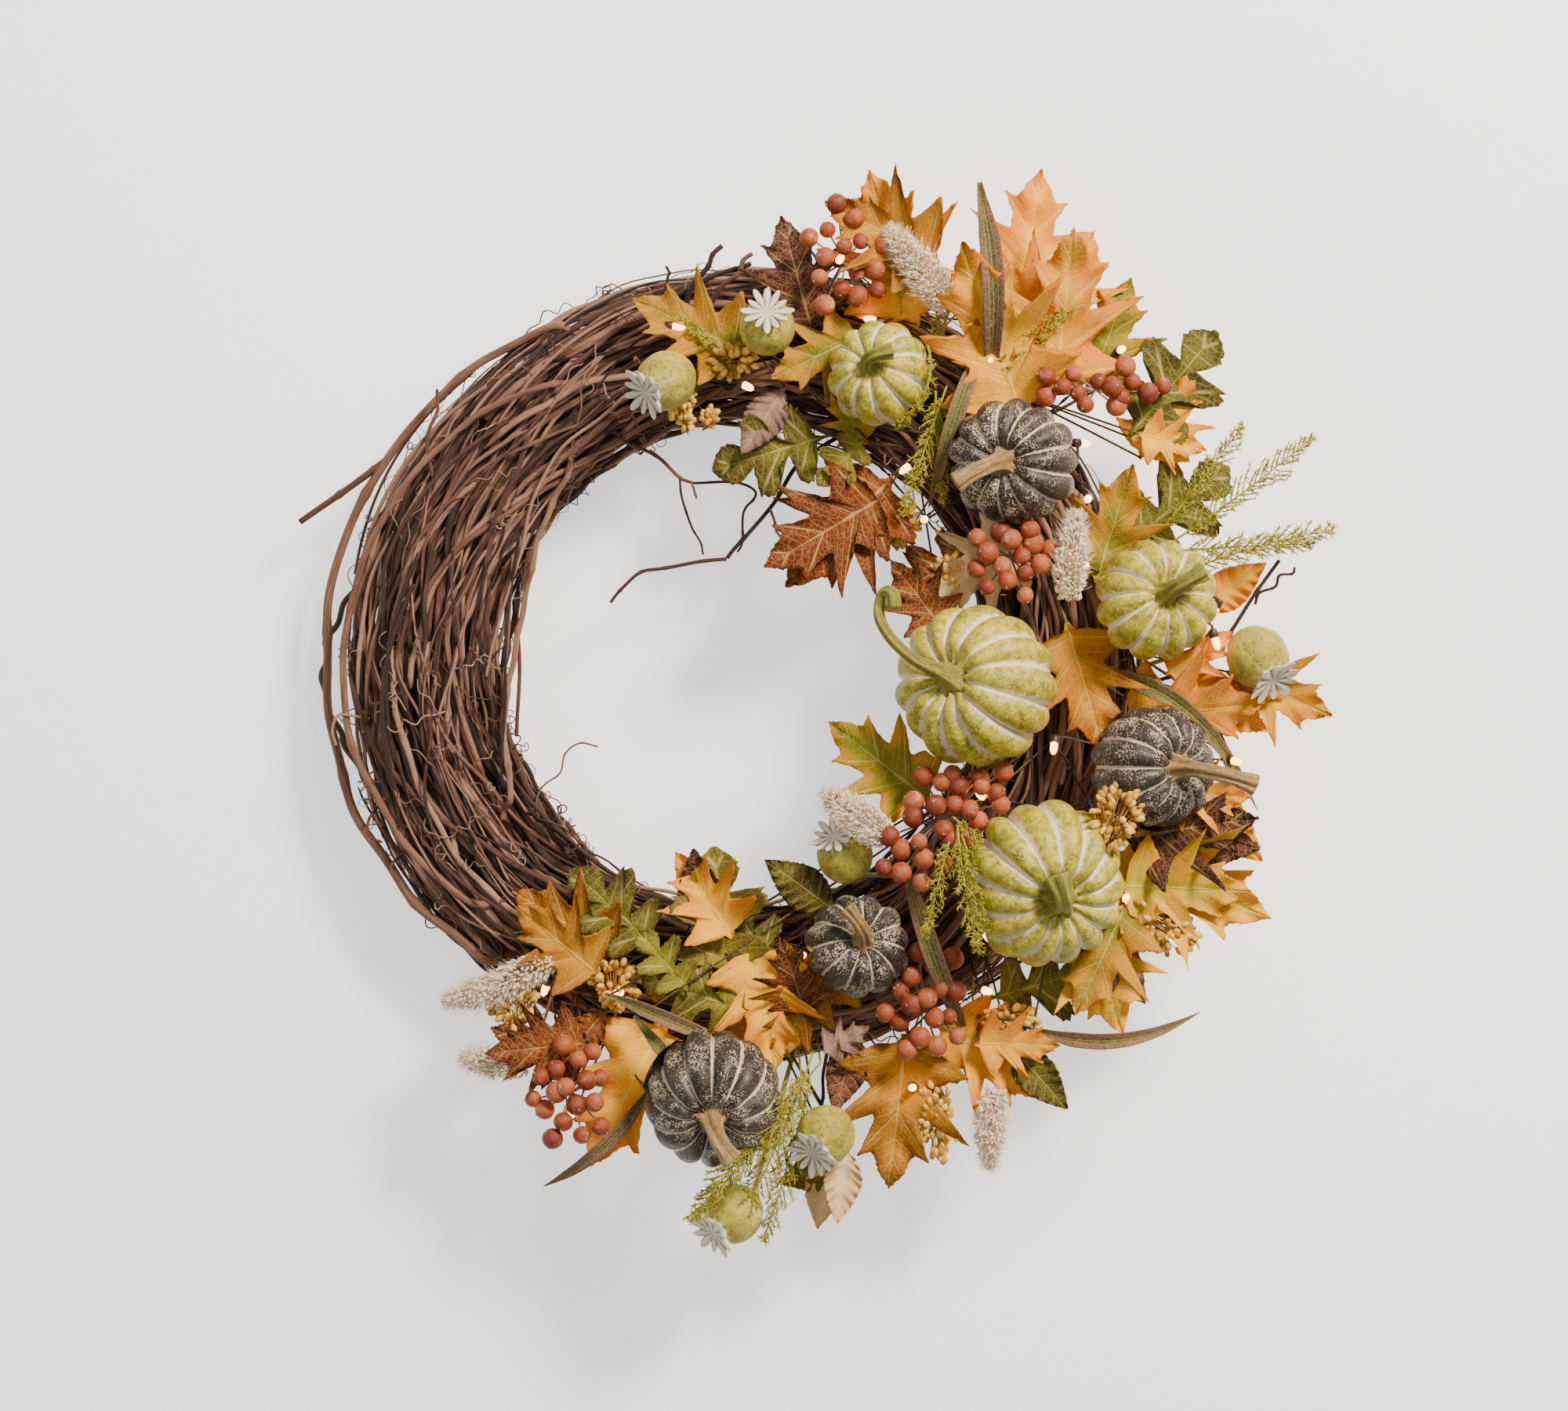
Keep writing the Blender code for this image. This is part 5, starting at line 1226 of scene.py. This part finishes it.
class WREATH_OT_ferns(bpy.types.Operator):
    """Asparagus fern: a bent stem, side stems on both sides, and needles along each of them"""

    bl_idname = "wreath.ferns"
    bl_label = "Ferns"

    def execute(self, context):
        colours = (0.1, "6a6c14"), (0.45, "a49c22"), (0.85, "ccb838")
        finish = seeds_skin("fern_green", 300.0, 2.0, 0.6, False, *colours)
        rng = np.random.default_rng(91)
        shape = Shape()
        for clock, out, front, toward, length in FERNS:
            base, up, right = at(clock, out, front), heading(toward), heading(toward + 90)
            sway, rise = rng.uniform(-0.12, 0.12), rng.uniform(0.04, 0.22)
            s = np.linspace(0, 1, FERN_ROWS)[:, None]
            stem = base + length * MM * (up * s + right * sway * s**2 + AHEAD * rise * np.sin(2.2 * s))
            stem = clear_of_pumpkins(stem, 3)
            shape.tubes(stem, (0.9 - 0.5 * s[:, 0]) * MM, 5, tint=0.35)
            shape.tubes(clear_of_pumpkins(rooted(clock, out, stem[0]), 2), 0.9 * MM, 5, tint=0.35)
            count = int(length / 2.6)
            share = np.linspace(0.1, 0.99, count)
            foot, along = between_stations(stem, share * (FERN_ROWS - 1) * 0.999)
            sign = np.where(np.arange(count) % 2 == 0, 1.0, -1.0)[:, None]
            lean = along * column(rng, 0.6, 1.0, count) + sign * right * column(rng, 0.4, 1, count)
            lean = unit(lean + AHEAD * rng.normal(0.1, 0.6, (count, 1)))
            full = np.sin(np.pi * (0.12 + 0.86 * share))[:, None] ** 0.7
            reach = length * MM * 0.13 * full * column(rng, 0.8, 1.15, count)
            t = np.linspace(0, 1, TWIG_ROWS)[:, None]
            side = foot[:, None] + (lean * reach)[:, None] * t + (along * reach * 0.25)[:, None] * t**2
            side = clear_of_pumpkins(side, 3)
            shape.tubes(side, 0.4 * MM, 4, tint=0.35)
            place = rng.uniform(0.08, 1, (count, NEEDLES)) * (TWIG_ROWS - 1.01)
            j = place.astype(int)
            row = np.arange(count)[:, None]
            start = side[row, j] + (side[row, j + 1] - side[row, j]) * (place - j)[..., None]
            spin = rng.normal(0, 1, (count, NEEDLES, 3))
            tip = unit(unit(spin) * 1.1 + lean[:, None] * 0.5 + along[:, None] * 0.4)
            long = rng.uniform(2.4, 4.6, (count, NEEDLES, 1)) * MM
            path = np.stack([start, start + tip * long], 2).reshape(-1, 2, 3)
            shape.tubes(path, np.array([0.42, 0.22]) * MM, 3, tint=tints(rng, len(path), 0.25))
        make_piece("fern_fronds", shape, finish, ("fern_spray",))
        return {"FINISHED"}


# ------------------------------------------------------------------ light string, hardware

# Bulbs: clock, out, front
BULBS = (
    (-13, 16, 18), (-1, -30, 26), (5, 20, 26), (13, 58, 30), (22, 30, 24), (30, 79, 30), (38, 40, 30),
    (40, -42, 30), (46, 10, 20), (50, 111, 24), (51, -66, 28), (56, 48, 34), (64, 40, 20), (74, 20, 24),
    (82, 93, 44), (85, 89, 46), (92, 20, 20), (101, 113, 34), (103, -7, 52), (112, 30, 28), (119, -36, 60),
    (122, 84, 32), (129, -74, 40), (138, 20, 30), (144, 49, 34), (148, 49, 34), (153, 0, 24),
    (158, 88, 24), (168, -22, 24), (176, 30, 20), (190, -57, 20), (196, 20, 22), (200, 15, 26),
    (201, 107, 24), (212, 30, 14),
)
# The lead from the battery box up to the string: clock, out, front
LEAD = ((176, -8, 22), (171, -30, 30), (163, -6, 34), (158, 26, 32), (163, 40, 34), (170, 20, 26),
        (174, -20, 8))
WIRE_TURN = 9 * MM  # one turn of the string's two wires
BULB_REACH = (0.05, 0.6, 0.9, 1.0, 1.0, 0.9, 0.6, 0.2, 0.03)  # bulb and socket profiles, in bulb radii
BULB_HEIGHT = (0.0, 0.05, 0.4, 1.0, 2.2, 3.2, 3.9, 4.3, 4.4)
SOCKET_REACH = (0.03, 1.1, 1.2, 1.2, 1.0, 0.03)
SOCKET_HEIGHT = (0, 0, 0.3, 1.9, 2.2, 2.2)


def string_path(rng):
    """The string runs from bulb to bulb and dips to the canes' skin between them."""
    spots = []
    for (clock, out, front), (next_clock, next_out, _) in zip(BULBS, BULBS[1:] + BULBS[-1:]):
        spots.append((clock, out, front - 3))
        for mark in (0.4, 0.75):
            low = out * (1 - mark) + next_out * mark + rng.normal(0, 6)
            spots.append((clock + (next_clock - clock) * mark, low, 3.0))
    clock, out, front = np.array(spots).T
    across = np.clip(out, -44, 44) * MM / HALF_WIDTH
    on_skin = HALF_DEPTH / MM * (np.sqrt(np.maximum(1 - across**2, 0.1)) - 1)
    front = np.where(front < 5, on_skin + 1.5, front)
    return clear_of_pumpkins(through(at(clock, out, front), 1500), 1.5)


class WREATH_OT_lights(bpy.types.Operator):
    """The light string: two twisted wires and warm bulbs"""

    bl_idname = "wreath.lights"
    bl_label = "Light string"

    def execute(self, context):
        sizes = context.scene.wreath_sizes
        rng = np.random.default_rng(101)
        wire = Finish("string_wire").surface("3a2114", 0.42)
        path = string_path(rng)
        run = np.cumsum(np.linalg.norm(np.gradient(path, axis=0), axis=1))
        shape = Shape()
        shape.tubes(two_strands(path, run / WIRE_TURN * TURN), 0.6 * MM, 5)
        lead = clear_of_pumpkins(through(at(*np.array(LEAD).T), 90), 2)
        for shift in (-0.7, 0.7):
            shape.tubes(lead + np.array([0, 0, shift * MM]), 0.75 * MM, 6)
        make_piece("string_wires", shape, wire, ("light_string",))
        clock, out, front = np.array(BULBS, float).T
        foot = clear_of_pumpkins(at(clock, out, front - 3), 2)
        tip = rng.normal(0, 0.6, (len(BULBS), 3)) + AHEAD * 0.9
        tip = unit(tip + heading(rng.uniform(0, 360, len(BULBS))) * 0.8)
        size = sizes.bulb_radius * MM
        bulbs = Shape()
        bulbs.lathe(foot + tip * 2.6 * MM, tip, np.array(BULB_REACH) * size, np.array(BULB_HEIGHT) * size, 14)
        glow = {"Emission_Color": "ffa434", "Emission_Strength": sizes.bulb_glow}
        warm = Finish("bulb_glow").surface("ffd28a", 0.25, **glow)
        make_piece("string_bulbs", bulbs, warm, ())
        caps = Shape()
        reach, tall = np.array(SOCKET_REACH) * size, np.array(SOCKET_HEIGHT) * size
        caps.lathe(foot - tip * 0.5 * MM, tip, reach, tall, 12)
        make_piece("string_sockets", caps, wire, ())
        return {"FINISHED"}


LOOP_WIRE = 1.3 * MM  # half the thickness of the twisted hanging wire
LOOP_ARCH = 11 * MM
LOOP_ROWS, LOOP_TURNS = 700, 46


def moulded(name, colour, low):
    """Moulded plastic with a fine grain."""
    f = Finish(name)
    grain = f.noise(1400.0, 2.0)
    tone = f.mix(f.noise(60.0, 3.0) * 0.35, colour, "000000")
    return f.surface(tone, f.gloss(grain, low, low + 0.12), f.bump(grain, 0.25, 0.0003))


def loop_path():
    """Up one leg, round the arch and down the other leg, in the box of the solid loop."""
    low, high = box_of("hanging_loop")
    top, middle, y = high[2] - LOOP_WIRE, (low[0] + high[0]) / 2, (low[1] + high[1]) / 2
    foot, wide = low[2] + LOOP_WIRE, (high[0] - low[0]) / 2 - LOOP_WIRE
    angle = np.linspace(0, np.pi, 40)
    across, up = middle + LOOP_ARCH * np.cos(angle), top - LOOP_ARCH + LOOP_ARCH * np.sin(angle)
    bow = np.stack([across, np.full(40, y), up], -1)
    right = np.linspace([middle + wide, y, foot], bow[0], 40)[:-1]
    left = np.linspace(bow[-1], [middle - wide, y, foot], 40)[1:]
    return through(np.concatenate([right, bow, left])[::6], LOOP_ROWS)


class WREATH_OT_hardware(bpy.types.Operator):
    """Finishes for the battery box, and the twisted hanging wire"""

    bl_idname = "wreath.hardware"
    bl_label = "Hardware"

    def execute(self, context):
        f = Finish("plated")
        plated = f.surface("b9b8b2", f.gloss(f.noise(700.0, 2.0), 0.22, 0.4), Metallic=1.0)
        brown, black = moulded("box_plastic", "3b2417", 0.45), moulded("switch_plastic", "121212", 0.35)
        sleeve = moulded("cell_sleeve", "2c3036", 0.3)
        finishes = {"battery_box": brown, "battery_cover": brown, "slide_switch": black,
                    "battery_1": sleeve, "battery_2": sleeve, "battery_3": sleeve,
                    "contact_left": plated, "contact_right": plated}
        for name, finish in finishes.items():
            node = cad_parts[name]
            node.data.materials.clear()
            node.data.materials.append(finish)
        f = Finish("florist_wire")
        grain = f.noise(500.0, 3.0)
        steel = f.surface(f.mix(grain, "3d3a36", "6b655c"), f.gloss(grain, 0.35, 0.55), Metallic=1.0)
        shape = Shape()
        turn = np.linspace(0, LOOP_TURNS * TURN, LOOP_ROWS)
        shape.tubes(two_strands(loop_path(), turn), 0.66 * MM, 6)
        make_piece("twisted_hanger", shape, steel, ("hanging_loop",))
        return {"FINISHED"}


# ------------------------------------------------------------------ stage

# Lamps: name, place, size, watts, colour
LAMPS = (
    ("key", (1.5, -2.3, 1.6), 0.9, 245.0, "fff1de"),
    ("fill", (-2.2, -2.4, -0.1), 2.2, 20.0, "f8f8ff"),
    ("front", (0.1, -3.4, -0.4), 2.6, 14.0, "ffffff"),
    ("behind", (0.4, 2.2, 0.6), 2.0, 16.0, "ffffff"),
)
WALL_HALF = 3.0


def wall_paint(colour):
    """Wall paint that lights itself a little. Its back face is clear."""
    f = Finish("wall_paint")
    dull = tuple(0.95 * c for c in colour)
    tone = f.mix(f.noise(90.0, 3.0), dull + (1.0,), colour + (1.0,))
    glow = {"Emission Color": "f5f4f3", "Emission Strength": 1.08}
    paint = f.node("ShaderNodeBsdfPrincipled", None, {"Base Color": tone, "Roughness": 0.9, **glow})
    clear = f.node("ShaderNodeBsdfTransparent")
    away = f.node("ShaderNodeNewGeometry", None, None, 6)
    seen = f.node("ShaderNodeMixShader", None, {0: away, 1: paint, 2: clear})
    f.tree.links.new(seen.socket, f.out.inputs[0])
    return f.material


class WREATH_OT_stage(bpy.types.Operator):
    """A pale wall, soft lights and the camera"""

    bl_idname = "wreath.stage"
    bl_label = "Stage"

    def execute(self, context):
        scene = context.scene
        mesh = bpy.data.meshes.new("wall")
        y = BACK + 1.0 * MM
        corners_xz = ((-1, -1), (1, -1), (1, 1), (-1, 1))
        mesh.from_pydata([(WALL_HALF * x, y, WALL_HALF * z) for x, z in corners_xz], [], [(0, 1, 2, 3)])
        mesh.materials.append(wall_paint(tuple(scene.wreath_sizes.wall_colour)))
        wall = bpy.data.objects.new("wall", mesh)
        wall.visible_shadow = False
        scene.collection.objects.link(wall)
        target = Vector((CENTRE[0], -0.05, CENTRE[2]))
        for name, place, size, watts, colour in LAMPS:
            data = bpy.data.lights.new(name, "AREA")
            data.shape, data.size, data.energy, data.color = "DISK", size, watts, hue(colour)[:3]
            lamp = bpy.data.objects.new(name, data)
            lamp.location = place
            lamp.rotation_euler = (target - Vector(place)).to_track_quat("-Z", "Y").to_euler()
            scene.collection.objects.link(lamp)
        world = bpy.data.worlds.new("soft_room")
        world.use_nodes = True
        background = world.node_tree.nodes["Background"]
        background.inputs[0].default_value = hue("f6f4f0")
        background.inputs[1].default_value = 0.30
        scene.world = world
        camera = bpy.data.cameras.new("camera")
        camera.lens = 85.1
        camera.sensor_width = 36
        camera.dof.use_dof = False
        eye = bpy.data.objects.new("camera", camera)
        eye.location = (-0.0125, -2.626, -0.3225)
        eye.rotation_euler = (math.pi / 2, 0, 0)
        scene.collection.objects.link(eye)
        scene.camera = eye
        return {"FINISHED"}


# ------------------------------------------------------------------ add-on


class WreathSizes(bpy.types.PropertyGroup):
    canes_per_layer: IntProperty(
        name="Canes per layer", description="Long canes wound in each of the three layers",
        default=86, min=4, max=94)
    tendrils: IntProperty(
        name="Tendrils", description="Curled tendrils between the canes", default=240, min=0, max=400)
    berry_radius: FloatProperty(
        name="Berry radius", description="Radius of a berry in millimetres", default=7.0, min=3, max=9)
    bulb_radius: FloatProperty(
        name="Bulb radius", description="Radius of a bulb in millimetres", default=2.6, min=0.8, max=3)
    bulb_glow: FloatProperty(
        name="Bulb glow", description="Light strength of the bulbs", default=13.0, min=0, max=60)
    wall_colour: FloatVectorProperty(
        name="Wall colour", description="Paint of the wall", subtype="COLOR",
        default=(0.86, 0.86, 0.85), min=0, max=1)


OPERATORS = (
    WREATH_OT_vines, WREATH_OT_loose_canes, WREATH_OT_tendrils, WREATH_OT_pumpkins, WREATH_OT_pods,
    WREATH_OT_berries, WREATH_OT_plumes, WREATH_OT_seeds, WREATH_OT_leaves, WREATH_OT_ferns,
    WREATH_OT_lights, WREATH_OT_hardware, WREATH_OT_stage,
)


class WREATH_PT_panel(bpy.types.Panel):
    """Lists the sizes and the pieces"""

    bl_label = "Harvest Door Wreath"
    bl_idname = "WREATH_PT_panel"
    bl_space_type = "VIEW_3D"
    bl_region_type = "UI"
    bl_category = "Wreath"

    def draw(self, context):
        for name in WreathSizes.__annotations__:
            self.layout.prop(context.scene.wreath_sizes, name)
        for operator in OPERATORS:
            self.layout.operator(operator.bl_idname)


def register():
    for cls in (WreathSizes, *OPERATORS, WREATH_PT_panel):
        bpy.utils.register_class(cls)
    bpy.types.Scene.wreath_sizes = PointerProperty(type=WreathSizes)


def unregister():
    del bpy.types.Scene.wreath_sizes
    for cls in (WREATH_PT_panel, *reversed(OPERATORS), WreathSizes):
        bpy.utils.unregister_class(cls)


def main():
    register()
    for operator in OPERATORS:
        call = getattr(bpy.ops.wreath, operator.bl_idname.split(".")[1])
        call()
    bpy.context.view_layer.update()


if __name__ == "__main__":
    main()
